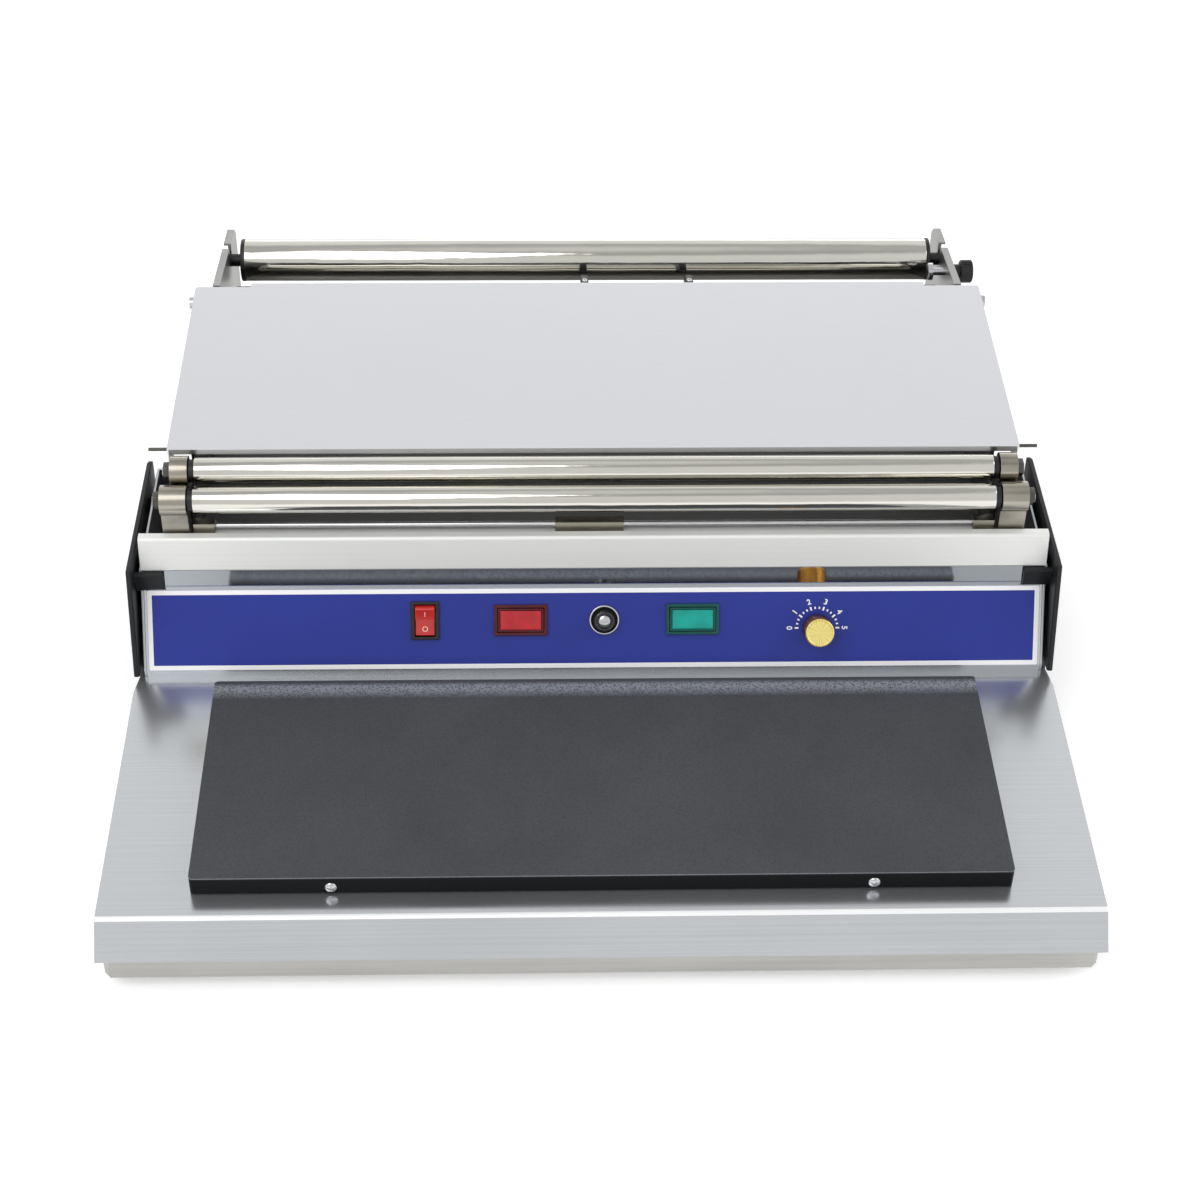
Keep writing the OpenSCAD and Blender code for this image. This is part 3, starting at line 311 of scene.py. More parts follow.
def grained(tree, colour, cells=900, rough=(0.4, 0.55), bump=0.3, contrast=0.12, wear=14, metallic=0.0, coat=0.0,
            gloss=0.5):
    """A moulded or coated surface: small cells in its height, and slow wear in its colour and gloss."""
    group = grain(tree, cells, wear)
    skinned(tree, group["Height"], bump, 0.1 * MM, {
        "Base Color": mottled(tree, group["Wear"], colour, 1 - contrast, 1 + contrast),
        "Roughness": slow_ramp(tree, group["Wear"], *rough), "Metallic": metallic, "Coat Weight": coat,
        "Specular IOR Level": gloss})


def coated_plate(tree, colour):
    """A dark coating with a fine grain, with painted light in its colour: painted shade makes it near black down the
    folded edges, a painted highlight lines the rim, and a speckled painted reflection lies along the rear of the top.
    """
    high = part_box("hot_plate")[1]
    group = grain(tree, 820, 16)
    where = add(tree, "ShaderNodeTexCoord").outputs["Object"]
    split = add(tree, "ShaderNodeSeparateXYZ", {0: where}).outputs
    rise = ramp(tree, split["Z"], high.z - 2.2 * MM, high.z - 0.05 * MM, 0, 1)
    # Painted light by height: painted shade on the front and side faces, a painted highlight along the rim, the plain
    # coating on top
    painted_light_bands = banded(tree, rise, (0.1, shade(colour, 0.12)), (1.0, colour),
                   [(position, shade(colour, factor)) for position, factor in ((0.5, 0.2), (0.78, 4.6), (0.93, 2.6))])
    speck = ramp(tree, group["Height"], 0.35, 0.75, 0.84, 1.2)
    # A painted reflection: a speckled lighter band along the rear edge of the top
    near = ramp(tree, split["Y"], high.y - 15 * MM, high.y - 8 * MM, 0, 1)
    far = ramp(tree, split["Y"], high.y - 5 * MM, high.y - 2 * MM, 1, 0)
    speckled_sheen = ramp(tree, group["Height"], 0.3, 0.8, 0.1, 3.4)
    slow = slow_ramp(tree, group["Wear"], 0.86, 1.16)
    rear_sheen = calc(tree, "MULTIPLY_ADD", calc(tree, "MULTIPLY", near, far), speckled_sheen, slow)
    tint = add(tree, "ShaderNodeVectorMath", {0: painted_light_bands, "Scale": calc(tree, "MULTIPLY", speck, rear_sheen)}, operation="SCALE")
    skinned(tree, group["Height"], 0.4, 0.11 * MM, {
        "Base Color": tint.outputs[0], "Roughness": slow_ramp(tree, group["Wear"], 0.4, 0.55),
        "Specular IOR Level": ramp(tree, rise, 0.1, 0.7, 0.1, 0.35)})


def lens(tree, colour, clear=0.1):
    """Translucent moulded plastic with a lit-looking body."""
    group = grain(tree, 260, 90)
    skinned(tree, group["Height"], 0.1, 0.1 * MM, {
        "Base Color": mottled(tree, group["Wear"], colour, 0.85, 1.15), "Roughness": 0.2,
        "Transmission Weight": clear, "Specular IOR Level": 0.35})


def turned(tree, colour):
    """Gold with rays about the knob's own axis on its face."""
    axis = panel_matrix(*KNOB)
    where = add(tree, "ShaderNodeTexCoord").outputs["Object"]
    own = add(tree, "ShaderNodeMapping", {
        "Vector": where, "Location": axis.to_translation(), "Rotation": axis.to_3x3().to_euler()},
        vector_type="TEXTURE")
    rays = add(tree, "ShaderNodeTexGradient", {"Vector": own.outputs["Vector"]}, gradient_type="RADIAL").outputs["Fac"]
    fine = add(tree, "ShaderNodeTexNoise", {"W": rays, "Scale": 60, "Detail": 4}, noise_dimensions="1D").outputs["Fac"]
    skinned(tree, fine, 0.12, 0.06 * MM, {
        "Base Color": mottled(tree, fine, colour, 0.84, 1.12), "Roughness": slow_ramp(tree, fine, 0.24, 0.38),
        "Metallic": 0.55})


def floor_paint(tree, colour):
    """Pale paint that shines a little of itself to the camera, to mirrors and through glass."""
    where = add(tree, "ShaderNodeTexCoord").outputs["Object"]
    noise = add(tree, "ShaderNodeTexNoise", {"Vector": where, "Scale": 3}).outputs["Fac"]
    path = add(tree, "ShaderNodeLightPath").outputs
    seen = calc(tree, "MAXIMUM", path["Is Camera Ray"], path["Is Glossy Ray"])
    through = calc(tree, "MAXIMUM", seen, path["Is Transmission Ray"])
    fill(tree, tree.nodes["Principled BSDF"], {
        "Base Color": mixed(tree, slow_ramp(tree, noise, 0, 1), (0.955, 0.955, 0.958, 1), (0.965, 0.965, 0.968, 1)),
        "Roughness": 0.75, "Specular IOR Level": 0.1, "Emission Color": colour,
        "Emission Strength": ramp(tree, through, 0, 1, 0, 0.3)})


# A stretch that is the same along every axis, for small parts
EVEN = (300, 300, 300)

# Each finish's maker, its colour (a display colour or the name of a setting) and what differs from the maker's values
FINISHES = {
    "pale floor": (floor_paint, (255, 255, 255), {}),
    "brushed stainless, along the width": (brushed, "steel", dict(
        rough=(0.16, 0.25), contrast=0.05, bump=0.16, metallic=0.86)),
    "brushed stainless, along the depth": (brushed, "steel", dict(stretch=(900, 4, 900))),
    "bright stainless": (brushed, "steel", dict(rough=(0.05, 0.1), contrast=0.04, bump=0.05)),
    # A painted highlight: near-white, barely metallic steel for the deck's front fold
    "bright fold": (brushed, (246, 247, 248), dict(rough=(0.3, 0.4), contrast=0.03, bump=0.05, metallic=0.25)),
    "shaded tray steel": (brushed, (150, 150, 149), dict(rough=(0.34, 0.48), contrast=0.09, bump=0.1, metallic=0.7)),
    "grey side steel": (brushed, (146, 146, 144), dict(stretch=(900, 6, 900), rough=(0.34, 0.46), contrast=0.08)),
    "grey stainless": (brushed, (172, 171, 168), dict(
        stretch=(6, 500, 500), rough=(0.3, 0.42), contrast=0.09, clouds=14)),
    "plain grey steel": (brushed, (150, 152, 156), dict(
        stretch=(40, 40, 60), rough=(0.42, 0.55), contrast=0.08, metallic=0.85)),
    "satin guard steel": (brushed, "guard", dict(rough=(0.4, 0.52), contrast=0.025, bump=0.06, metallic=0.35)),
    "satin platform steel": (brushed, "platform", dict(
        stretch=(60, 500, 500), rough=(0.32, 0.44), contrast=0.012, bump=0.035, clouds=7)),
    "polished tube": (brushed, "tube", dict(
        stretch=(2, 260, 260), rough=(0.07, 0.13), contrast=0.05, bump=0.04, clouds=26, wave=0.9 * MM)),
    "plated hardware": (brushed, (205, 205, 208), dict(stretch=EVEN, rough=(0.14, 0.24), bump=0.05, clouds=60)),
    "dark plated steel": (brushed, (92, 90, 86), dict(
        stretch=EVEN, rough=(0.2, 0.32), contrast=0.08, bump=0.05, clouds=60)),
    # Painted shade: a darker, browner copy of the gold for the knob's knurled side
    "gold knurled side": (brushed, (190, 138, 66), dict(
        stretch=EVEN, rough=(0.24, 0.34), contrast=0.14, bump=0.1, clouds=60)),
    "copper tube": (brushed, (190, 120, 76), dict(stretch=EVEN, rough=(0.25, 0.4), contrast=0.12)),
    "gold turned face": (turned, "gold", {}),
    # The coating's maker also paints shade, a highlight and a reflection into its colour
    "charcoal non-stick coating": (coated_plate, "coating", {}),
    "bright cast metal": (grained, (166, 161, 150), dict(
        cells=1500, rough=(0.16, 0.27), bump=0.06, contrast=0.08, metallic=1.0, wear=60)),
    "black moulded plastic": (grained, (19, 19, 21), dict(cells=2200, rough=(0.34, 0.46), bump=0.1, contrast=0.15)),
    "black side cover": (grained, "cover", dict(cells=1700, rough=(0.36, 0.5), bump=0.16, contrast=0.14, gloss=0.35)),
    "black rubber": (grained, (24, 24, 25), dict(cells=1400, rough=(0.7, 0.85), bump=0.25, contrast=0.2)),
    "glossy black cap": (grained, (22, 22, 24), dict(
        cells=700, rough=(0.08, 0.16), bump=0.1, contrast=0.2, coat=0.6)),
    "dark bracket paint": (grained, (40, 42, 46), dict(cells=1500, bump=0.15)),
    "printed blue film": (grained, "label", dict(
        cells=2600, rough=(0.26, 0.36), bump=0.04, contrast=0.06, wear=9, gloss=0.3)),
    "white print": (grained, (252, 252, 253), dict(cells=2600, rough=(0.3, 0.4), bump=0.03, contrast=0.02)),
    "red switch plastic": (grained, (206, 42, 40), dict(
        cells=1800, rough=(0.2, 0.3), bump=0.05, contrast=0.06, coat=0.4)),
    "switch marks": (grained, (245, 225, 222), dict(cells=2000, rough=(0.3, 0.4), bump=0.02, contrast=0.03)),
    "woven heater mat": (grained, (190, 168, 116), dict(cells=700, rough=(0.6, 0.75), bump=0.4, contrast=0.15)),
    "pressed mineral wool": (grained, (222, 216, 200), dict(cells=420, rough=(0.85, 0.95), bump=0.6, contrast=0.1)),
    "varnished iron core": (grained, (84, 74, 66), dict(cells=300, rough=(0.4, 0.6), contrast=0.25)),
    "blue wire sleeve": (grained, (40, 44, 140), dict(cells=1200, rough=(0.35, 0.5), bump=0.1, contrast=0.1)),
    "dark red bezel": (lens, (84, 18, 26), {}),
    "dark teal bezel": (lens, (8, 84, 78), {}),
    "red lens plastic": (lens, (205, 46, 54), {}),
    "green lens plastic": (lens, (12, 172, 158), {}),
    "clear glass": (lens, (228, 234, 236), dict(clear=0.85)),
}


def made(name):
    """The material of that name, which is made on its first use."""
    if name in bpy.data.materials:
        return bpy.data.materials[name]
    maker, colour, values = FINISHES[name]
    material = bpy.data.materials.new(name)
    material.use_nodes = True
    maker(material.node_tree, getattr(finish(), colour) if isinstance(colour, str) else tone(*colour), **values)
    return material


# Mesh helpers


def linked(name, data):
    piece = bpy.data.objects.new(name, data)
    bpy.context.scene.collection.objects.link(piece)
    return piece


def removed(piece):
    """Deletes an object and its data."""
    bpy.data.batch_remove([piece.data, piece])


def evaluated(piece, **settings):
    """The mesh of a piece after its modifiers."""
    bpy.context.view_layer.update()
    graph = bpy.context.evaluated_depsgraph_get()
    return bpy.data.meshes.new_from_object(piece.evaluated_get(graph), depsgraph=graph, **settings)


def plain(piece):
    """Turns a piece and its modifiers into a plain mesh."""
    mesh = evaluated(piece, preserve_all_data_layers=True)
    old = piece.data
    piece.modifiers.clear()
    piece.data = mesh
    mesh.name = piece.name
    if old.users == 0:
        bpy.data.meshes.remove(old)
    return piece


def settled(piece, angle=35, weighted=False):
    """Smooths a piece by angle, may even its normals, and leaves it a plain mesh."""
    mesh = piece.data
    mesh.shade_smooth()
    mesh.set_sharp_from_angle(angle=math.radians(angle))
    if weighted:
        even = piece.modifiers.new("Even normals", "WEIGHTED_NORMAL")
        even.keep_sharp = True
        even.weight = 90
    return plain(piece)


def finished(piece, *names):
    """Gives a piece the finishes of those names after any that it has."""
    for name in names:
        piece.data.materials.append(made(name))
    return piece


def chosen(piece, second):
    """Gives the second finish to the faces that the test picks, and the first to the others."""
    for face in piece.data.polygons:
        face.material_index = 1 if second(face) else 0


def dressed(piece, finish_name, body, node=None):
    """Gives a piece its finish and body, and lets it stand for its CAD node."""
    if finish_name is not None:
        piece.data.materials.clear()
        finished(piece, finish_name)
    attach(piece, body)
    if node:
        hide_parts(node)
    return piece


def mesh_of(bm, name):
    """A new mesh from a bmesh, which is freed."""
    mesh = bpy.data.meshes.new(name)
    bm.to_mesh(mesh)
    bm.free()
    return mesh


def closed_mesh(bm, name, matrix=None):
    """A new mesh from a closed bmesh, with its faces turned outwards, in its place."""
    bmesh.ops.recalc_face_normals(bm, faces=bm.faces)
    if matrix is not None:
        bm.transform(matrix)
    return mesh_of(bm, name)


def bevelled(bm, edges, radius, segments):
    bmesh.ops.bevel(bm, geom=edges, offset=radius, segments=segments, profile=0.5, affect="EDGES", clamp_overlap=True)


def anywhere(co, d):
    return True


def along_x(d):
    return abs(d.x) > STRAIGHT


def softened(name, node, rules=(), edge=0.0, least=0.004, angle=28):
    """A copy of a CAD node with its folds rounded by the rules and all other sharp edges by a fine radius.

    Each rule is a radius, a number of segments and a test on an edge's middle and direction in metres.
    Edges shorter than least, such as those round a bore, are left alone."""
    bm = bmesh.new()
    bm.from_mesh(frame["nodes"][node].data)
    bmesh.ops.remove_doubles(bm, verts=bm.verts, dist=2e-6)
    bmesh.ops.dissolve_limit(bm, angle_limit=math.radians(0.5), verts=bm.verts, edges=bm.edges)
    for radius, segments, test in (*rules, (edge, 2, anywhere)):
        picked = []
        for e in bm.edges:
            a, b = (v.co for v in e.verts)
            if (radius and len(e.link_faces) == 2 and e.calc_face_angle(0) > math.radians(angle)
                    and e.calc_length() > least and test((a + b) / 2, (b - a).normalized())):
                picked.append(e)
        if picked:
            bevelled(bm, picked, radius, segments)
    return settled(linked(name, mesh_of(bm, name)), angle, weighted=True)


def folded(name, node, finish_name, rules=(), edge=0.0, least=0.004, angle=28, body="base"):
    """A softened CAD node in its finish, in the node's place."""
    return dressed(softened(name, node, rules, edge, least, angle), finish_name, body, node)


def outline(*runs):
    """Profile points: each run adds pairs of millimetres to its place along the axis and its radius."""
    return [(along + a * MM, radius + r * MM) for along, radius, pairs in runs for a, r in pairs]


def bar(reach, radius, ease, inner=None):
    """A profile of a solid bar or, with an inner radius, of a tube, with eased ends."""
    brief = 0.3 * ease
    skin = [(-reach, radius - ease), (-reach + brief, radius - brief), (-reach + ease, radius), (reach - ease, radius),
            (reach - brief, radius - brief), (reach, radius - ease)]
    if inner is None:
        return [(-reach, 0)] + skin + [(reach, 0)]
    return skin + [(reach, inner), (-reach, inner)]


def mirrored(profile):
    """The same turned profile on the left of the machine."""
    return [(-a, r) for a, r in reversed(profile)]


def lathe_mesh(name, profile, count=96, closed=False, matrix=None):
    """Turns (along, radius) points about local Z; open profiles end on the axis or with a flat cap."""
    bm = bmesh.new()
    turns = [2 * math.pi * i / count for i in range(count)]
    rings = [[bm.verts.new((radius * math.cos(a), radius * math.sin(a), along)) for a in (turns if radius else [0])]
             for along, radius in profile]
    for a, b in list(zip(rings, rings[1:])) + ([(rings[-1], rings[0])] if closed else []):
        for i in range(count):
            j = (i + 1) % count
            corners = dict.fromkeys((a[i % len(a)], a[j % len(a)], b[j % len(b)], b[i % len(b)]))
            if len(corners) > 2:
                bm.faces.new(list(corners))
    if not closed:
        for ring in (rings[0][::-1], rings[-1]):
            if len(ring) > 1:
                bm.faces.new(ring)
    return closed_mesh(bm, name, matrix)


def joined(name, meshes):
    """One piece out of several meshes."""
    bm = bmesh.new()
    for mesh in meshes:
        bm.from_mesh(mesh)
        bpy.data.meshes.remove(mesh)
    return linked(name, mesh_of(bm, name))


def turned_x(name, profiles, at, count=96, closed=False):
    """Round parts about one axis along the width, as one piece."""
    return settled(joined(name, [lathe_mesh(name, p, count, closed, turn_x(at)) for p in profiles]), 30)


def turned_on_panel(name, profile, at, count=64, closed=False):
    return settled(linked(name, lathe_mesh(name, profile, count, closed, panel_matrix(*at))), 30)


# Geometry node trees for what repeats


def realised(tree, instances, material):
    real = add(tree, "GeometryNodeRealizeInstances", {0: instances})
    paint = add(tree, "GeometryNodeSetMaterial", {"Geometry": real.outputs[0], "Material": material})
    return {0: paint.outputs[0]}


def turned_by(tree, **angles):
    """A rotation about local axes, each angle given by its letter."""
    spin = add(tree, "ShaderNodeCombineXYZ", angles)
    return add(tree, "FunctionNodeEulerToRotation", {0: spin.outputs[0]}).outputs[0]


def arc_tree():
    """Boxes along an arc about local Z: knurls, flutes and dial ticks."""
    def build(tree, given):
        angle = calc(tree, "MULTIPLY", add(tree, "GeometryNodeInputIndex").outputs[0], given["Step"])
        x, y = (calc(tree, "MULTIPLY", calc(tree, wave, angle), given["Radius"]) for wave in ("COSINE", "SINE"))
        spot = add(tree, "ShaderNodeCombineXYZ", {"X": x, "Y": y}).outputs[0]
        points = add(tree, "GeometryNodePoints", {"Count": given["Count"], "Position": spot})
        cube = add(tree, "GeometryNodeMeshCube", {"Size": given["Size"]})
        copies = add(tree, "GeometryNodeInstanceOnPoints", {
            "Points": points.outputs[0], "Instance": cube.outputs["Mesh"], "Rotation": turned_by(tree, Z=angle)})
        return realised(tree, copies.outputs[0], given["Material"])

    return tree_of("parts on an arc", "GeometryNodeTree", (
        ("Geometry", "Geometry"), ("Count", "Int"), ("Radius", "Float"), ("Step", "Float"), ("Size", "Vector"),
        ("Material", "Material")), (("Geometry", "Geometry"),), build)


def heads_tree():
    """One small part copied to each point, turned the same way and spun by a fixed random angle."""
    def build(tree, given):
        part = add(tree, "GeometryNodeObjectInfo", {"Object": given["Part"]})
        turn = add(tree, "FunctionNodeEulerToRotation", {0: given["Turn"]})
        copies = add(tree, "GeometryNodeInstanceOnPoints", {
            "Points": given["Geometry"], "Instance": part.outputs["Geometry"], "Rotation": turn.outputs[0]})
        chance = add(tree, "FunctionNodeRandomValue", {3: given["Spin"], "Seed": given["Seed"]})
        spun = add(tree, "GeometryNodeRotateInstances", {
            "Instances": copies.outputs[0], "Rotation": turned_by(tree, Z=chance.outputs[1]), "Local Space": True})
        return realised(tree, spun.outputs[0], given["Material"])

    return tree_of("parts on points", "GeometryNodeTree", (
        ("Geometry", "Geometry"), ("Part", "Object"), ("Turn", "Vector"), ("Spin", "Float"), ("Seed", "Int"),
        ("Material", "Material")), (("Geometry", "Geometry"),), build)


def grown(name, tree, values, points):
    """A plain mesh grown by a tree from its named values."""
    mesh = bpy.data.meshes.new(name)
    mesh.from_pydata([tuple(p) for p in points], [], [])
    piece = linked(name, mesh)
    modifier = piece.modifiers.new("Grow", "NODES")
    modifier.node_group = tree
    for item in tree.interface.items_tree:
        if item.in_out == "INPUT" and item.name in values:
            modifier[item.identifier] = values[item.name]
    return plain(piece)


def on_arc(name, finish_name, count, radius, step, size, matrix):
    piece = grown(name, arc_tree(), {"Count": count, "Radius": radius, "Step": step, "Size": size,
                                     "Material": made(finish_name)}, [(0, 0, 0)])
    piece.data.transform(matrix)
    return piece


def on_points(name, finish_name, part_mesh, points, out, spin=0.0, seed=1):
    """Copies a small part to points with its Z axis turned outwards."""
    part = linked("part prototype", part_mesh)
    turn = UP.rotation_difference(out).to_euler()
    piece = grown(name, heads_tree(), {"Part": part, "Turn": tuple(turn), "Spin": spin, "Seed": seed,
                                       "Material": made(finish_name)}, points)
    removed(part)
    piece.data.shade_smooth()
    piece.data.set_sharp_from_angle(angle=math.radians(30))
    return piece


def merged_pieces(name, pieces, body, node):
    """Joins pieces of one body into one object, keeping their finishes, and lets it stand for its CAD node."""
    bm = bmesh.new()
    materials = []
    for piece in pieces:
        first = len(bm.faces)
        bm.from_mesh(piece.data)
        bm.faces.ensure_lookup_table()
        for face in bm.faces[first:]:
            own = piece.data.materials[face.material_index]
            if own not in materials:
                materials.append(own)
            face.material_index = materials.index(own)
        removed(piece)
    mesh = mesh_of(bm, name)
    for material in materials:
        mesh.materials.append(material)
    dressed(linked(name, mesh), None, body, node)


# Shared shapes


def screw_mesh(radius, height, cuts=CROSS):
    """A domed screw head on local Z with a cross or a straight slot cut in."""
    dome = [(height * math.sin(a), radius * math.cos(a)) for a in (0, 0.3, 0.6, 0.9, 1.2, 1.4)]
    profile = [(-0.15 * height, 0), (-0.15 * height, radius)] + dome + [(height, 0)]
    head = linked("screw head", lathe_mesh("screw head", profile, count=32))
    tools = []
    for turn in cuts:
        bm = bmesh.new()
        bmesh.ops.create_cube(bm, size=1, matrix=Matrix.Translation((0, 0, height)) @ Matrix.Rotation(
            math.radians(turn), 4, "Z") @ Matrix.Diagonal((radius * 1.15, radius * 0.22, height * 0.9, 1)))
        tools.append(linked("screw cut", mesh_of(bm, "screw cut")))
        cut = head.modifiers.new("Slot", "BOOLEAN")
        cut.operation = "DIFFERENCE"
        cut.object = tools[-1]
    plain(head)
    for tool in tools:
        removed(tool)
    mesh = head.data
    bpy.data.objects.remove(head)
    return mesh


def screw_piece(name, points, out, radius, height, cuts=CROSS, seed=3):
    """Screw heads at points, each facing the direction out; radius and height are in millimetres."""
    return on_points(name, "plated hardware", screw_mesh(radius * MM, height * MM, cuts), points, out, 1.5, seed)


def nut_mesh(radius, height):
    """A hexagon nut on local Z with eased corners."""
    bm = bmesh.new()
    bmesh.ops.create_cone(bm, cap_ends=True, segments=6, radius1=radius, radius2=radius, depth=height,
                          matrix=Matrix.Translation((0, 0, height / 2)))
    bevelled(bm, list(bm.edges), radius * 0.07, 2)
    return mesh_of(bm, "nut")


def text_mesh(body, size, thick, matrix, bolder=0.0):
    """Flat lettering on local XY, centred, as a mesh."""
    curve = bpy.data.curves.new("mark", "FONT")
    curve.body = body
    curve.size = size
    curve.extrude = thick / 2
    curve.offset = bolder
    curve.align_x = curve.align_y = "CENTER"
    curve.resolution_u = 6
    piece = linked("mark", curve)
    mesh = evaluated(piece)
    removed(piece)
    mesh.transform(matrix @ Matrix.Translation((0, 0, thick / 2)))
    return mesh


def panel_box(node, at):
    """A node's lowest and highest corners in the panel's own axes, about a point on the panel."""
    back = panel_matrix(*at).inverted()
    points = [back @ v.co for v in frame["nodes"][node].data.vertices]
    return [Vector([pick(p[i] for p in points) for i in range(3)]) for pick in (min, max)]


def round_corners(w, h, r):
    """The points of a rectangle in local XY with rounded corners."""
    points = []
    for sx, sy, start in ((1, 1, 0), (-1, 1, 90), (-1, -1, 180), (1, -1, 270)):
        for i in range(9):
            a = math.radians(start + 90 * i / 8)
            points.append((sx * (w / 2 - r) + r * math.cos(a), sy * (h / 2 - r) + r * math.sin(a)))
    return points


def stepped_cap(name, width, height, corner, steps, matrix):
    """A moulded rectangular cap: each step is an inset, a level and the number of the finish that leads to it."""
    bm = bmesh.new()
    rings = []
    for inset, level, _ in steps:
        points = round_corners(width - 2 * inset, height - 2 * inset, max(corner - inset, 0.15 * MM))
        rings.append([bm.verts.new((x, y, level)) for x, y in points])
    for a, b, step in zip(rings, rings[1:], steps[1:]):
        for i in range(len(a)):
            j = (i + 1) % len(a)
            bm.faces.new((a[i], a[j], b[j], b[i])).material_index = step[2]
    bm.faces.new(rings[0][::-1]).material_index = steps[0][2]
    bm.faces.new(rings[-1]).material_index = steps[-1][2]
    return linked(name, closed_mesh(bm, name, matrix))


def frame_mesh(name, width, height, border, matrix, thick, corner):
    """A flat picture-frame strip in local XY, standing on local Z 0."""
    bm = bmesh.new()
    loops = []
    for z in (0, thick):
        for inset, radius in ((0, corner), (border, corner * 0.6)):
            points = round_corners(width - 2 * inset, height - 2 * inset, radius)
            loops.append([bm.verts.new((x, y, z)) for x, y in points])
    count = len(loops[0])
    for i in range(count):
        j = (i + 1) % count
        for a, b in ((0, 1), (1, 3), (3, 2), (2, 0)):
            bm.faces.new((loops[a][i], loops[a][j], loops[b][j], loops[b][i]))
    return closed_mesh(bm, name, matrix)


def paint(node, finish_name):
    """Gives a CAD node that stays in view its finish."""
    mesh = frame["nodes"][node].data
    mesh.materials.clear()
    mesh.materials.append(made(finish_name))


def tube(node, count):
    """A roller's polished tube; gives its axis, radius and right end."""
    at = axis_of(node)
    radius, end = round_size(node)
    profile = bar(end, radius, 0.5 * MM, radius - 1.2 * MM)
    dressed(turned_x(node + "_tube", [profile], at, count, closed=True), "polished tube", node, node)
    return at, radius, end


# Operators


class WRAPPER_OT_stage(bpy.types.Operator):
    """Makes the pale floor, the soft studio light and the camera"""
    bl_idname = "wrapper.stage"
    bl_label = "Stage, light and camera"

    def execute(self, context):
        scene = context.scene
        scene.view_settings.view_transform = "Standard"
        mesh = bpy.data.meshes.new("floor")
        half = 14.0
        mesh.from_pydata([(-half, -half, 0), (half, -half, 0), (half, half, 0), (-half, half, 0)], [], [(0, 1, 2, 3)])
        floor = finished(linked("floor", mesh), "pale floor")
        self.light_world(scene)
        self.lamp("key softbox", (-1.2, -1.3, 2.6), 2.0, 2.0, 26)
        self.lamp("back softbox", (0.3, 3.2, 0.9), 3.6, 0.5, 9)
        self.lamp("right strip", (2.0, -0.2, 1.2), 0.6, 1.8, 8)
        self.aim_camera(scene)
        return {"FINISHED"}

    def light_world(self, scene):
        """A studio that is bright round its walls, with a greyer band high overhead that shows on the tubes."""
        world = scene.world or bpy.data.worlds.new("studio")
        scene.world = world
        world.use_nodes = True
        tree = world.node_tree
        where = add(tree, "ShaderNodeTexCoord").outputs["Generated"]
        split = add(tree, "ShaderNodeSeparateXYZ", {0: where}).outputs
        up = banded(tree, split["Z"], (0.0, WHITE), (1.0, shade(WHITE, 0.85)), [
            (position, shade(WHITE, level)) for position, level in ((0.74, 0.94), (0.84, 0.56), (0.93, 0.6))])
        away = ramp(tree, split["Y"], -1.0, 1.0, 0.84, 1.04)
        fill(tree, tree.nodes["Background"], {"Strength": calc(tree, "MULTIPLY", up, away), "Color": WHITE})

    def lamp(self, name, at, width, height, power):
        data = bpy.data.lights.new(name, "AREA")
        data.shape = "RECTANGLE"
        data.size = width
        data.size_y = height
        data.energy = power
        lamp = linked(name, data)
        lamp.location = at
        lamp.rotation_euler = (Vector((0, 0, 0.1)) - Vector(at)).to_track_quat("-Z", "Y").to_euler()

    def aim_camera(self, scene):
        """The photograph's own viewpoint, fitted to the deck, the rollers and the platform."""
        tilt, swing, roll = 0.715585, 0.0385217, 0.0191918
        ahead = Vector((math.sin(swing) * math.cos(tilt), math.cos(swing) * math.cos(tilt), -math.sin(tilt)))
        right = ahead.cross(UP).normalized()
        up = right.cross(ahead)
        columns = (math.cos(roll) * right + math.sin(roll) * up, math.cos(roll) * up - math.sin(roll) * right, -ahead)
        data = bpy.data.cameras.new("photo camera")
        data.sensor_width = 36
        data.sensor_fit = "HORIZONTAL"
        data.lens = 72.506
        data.clip_start = 0.01
        data.clip_end = 60
        camera = linked("photo camera", data)
        eye = place(-37.827, -844.328, 951.722)
        camera.matrix_world = Matrix.Translation(eye) @ Matrix([[c[i] for c in columns] for i in range(3)]).to_4x4()
        scene.camera = camera


class WRAPPER_OT_sheet_metal(bpy.types.Operator):
    """Folds the deck, front housing, pan, tray, rear panel and cheek plates"""
    bl_idname = "wrapper.sheet_metal"
    bl_label = "Deck, housing and pan"

    def execute(self, context):
        s = sizes()
        top = DECK_HIGH.z
        fold_low, fold_front = top - 0.95 * s.bend, place(0, 3.2, 0).y
        strip_low = top + PANEL_FOOT + PANEL_RISE * MM

        def deck_fold(co, d):
            """Along the front, far before the housing."""
            return along_x(d) and co.y < HOUSING_FRONT - 0.16 and co.z > top - NEAR

        def housing_fold(co, d):
            """On the outer side, and not on the short returns at both ends."""
            outer = co.y < HOUSING_FRONT + NEAR or co.z > top + PANEL_FOOT + NEAR
            return along_x(d) and abs(co.x) < 0.2 and outer

        def bright(face):
            """The rounded fold between the deck's top and its apron, which gets a painted highlight."""
            return face.center.z > fold_low and face.center.y < fold_front and -0.93 < face.normal.y < -0.05

        def strip(face):
            """The upright strip above the panel."""
            return face.center.z > strip_low and abs(face.normal.y) > 0.7

        deck = folded("deck_sheet", "deck", "brushed stainless, along the width", [(s.bend, 5, deck_fold)],
                      s.edge)
        # The deck's front fold gets a painted highlight
        chosen(finished(deck, "bright fold"), bright)
        housing = folded("front_housing_sheet", "front_housing", "brushed stainless, along the width",
                         [(s.bend, 5, housing_fold)], s.edge)
        chosen(finished(housing, "bright stainless"), strip)
        for name, node, metal in (("bottom_pan_sheet", "bottom_pan", "grey stainless"),
                                  ("inner_tray_sheet", "inner_tray", "shaded tray steel"),
                                  ("rear_panel_sheet", "rear_panel", "grey stainless")):
            folded(name, node, metal, edge=s.edge * 1.5, least=0.006)
        folded("cheek_sheets", "cheek_plates", "brushed stainless, along the depth", edge=s.edge)
        return {"FINISHED"}


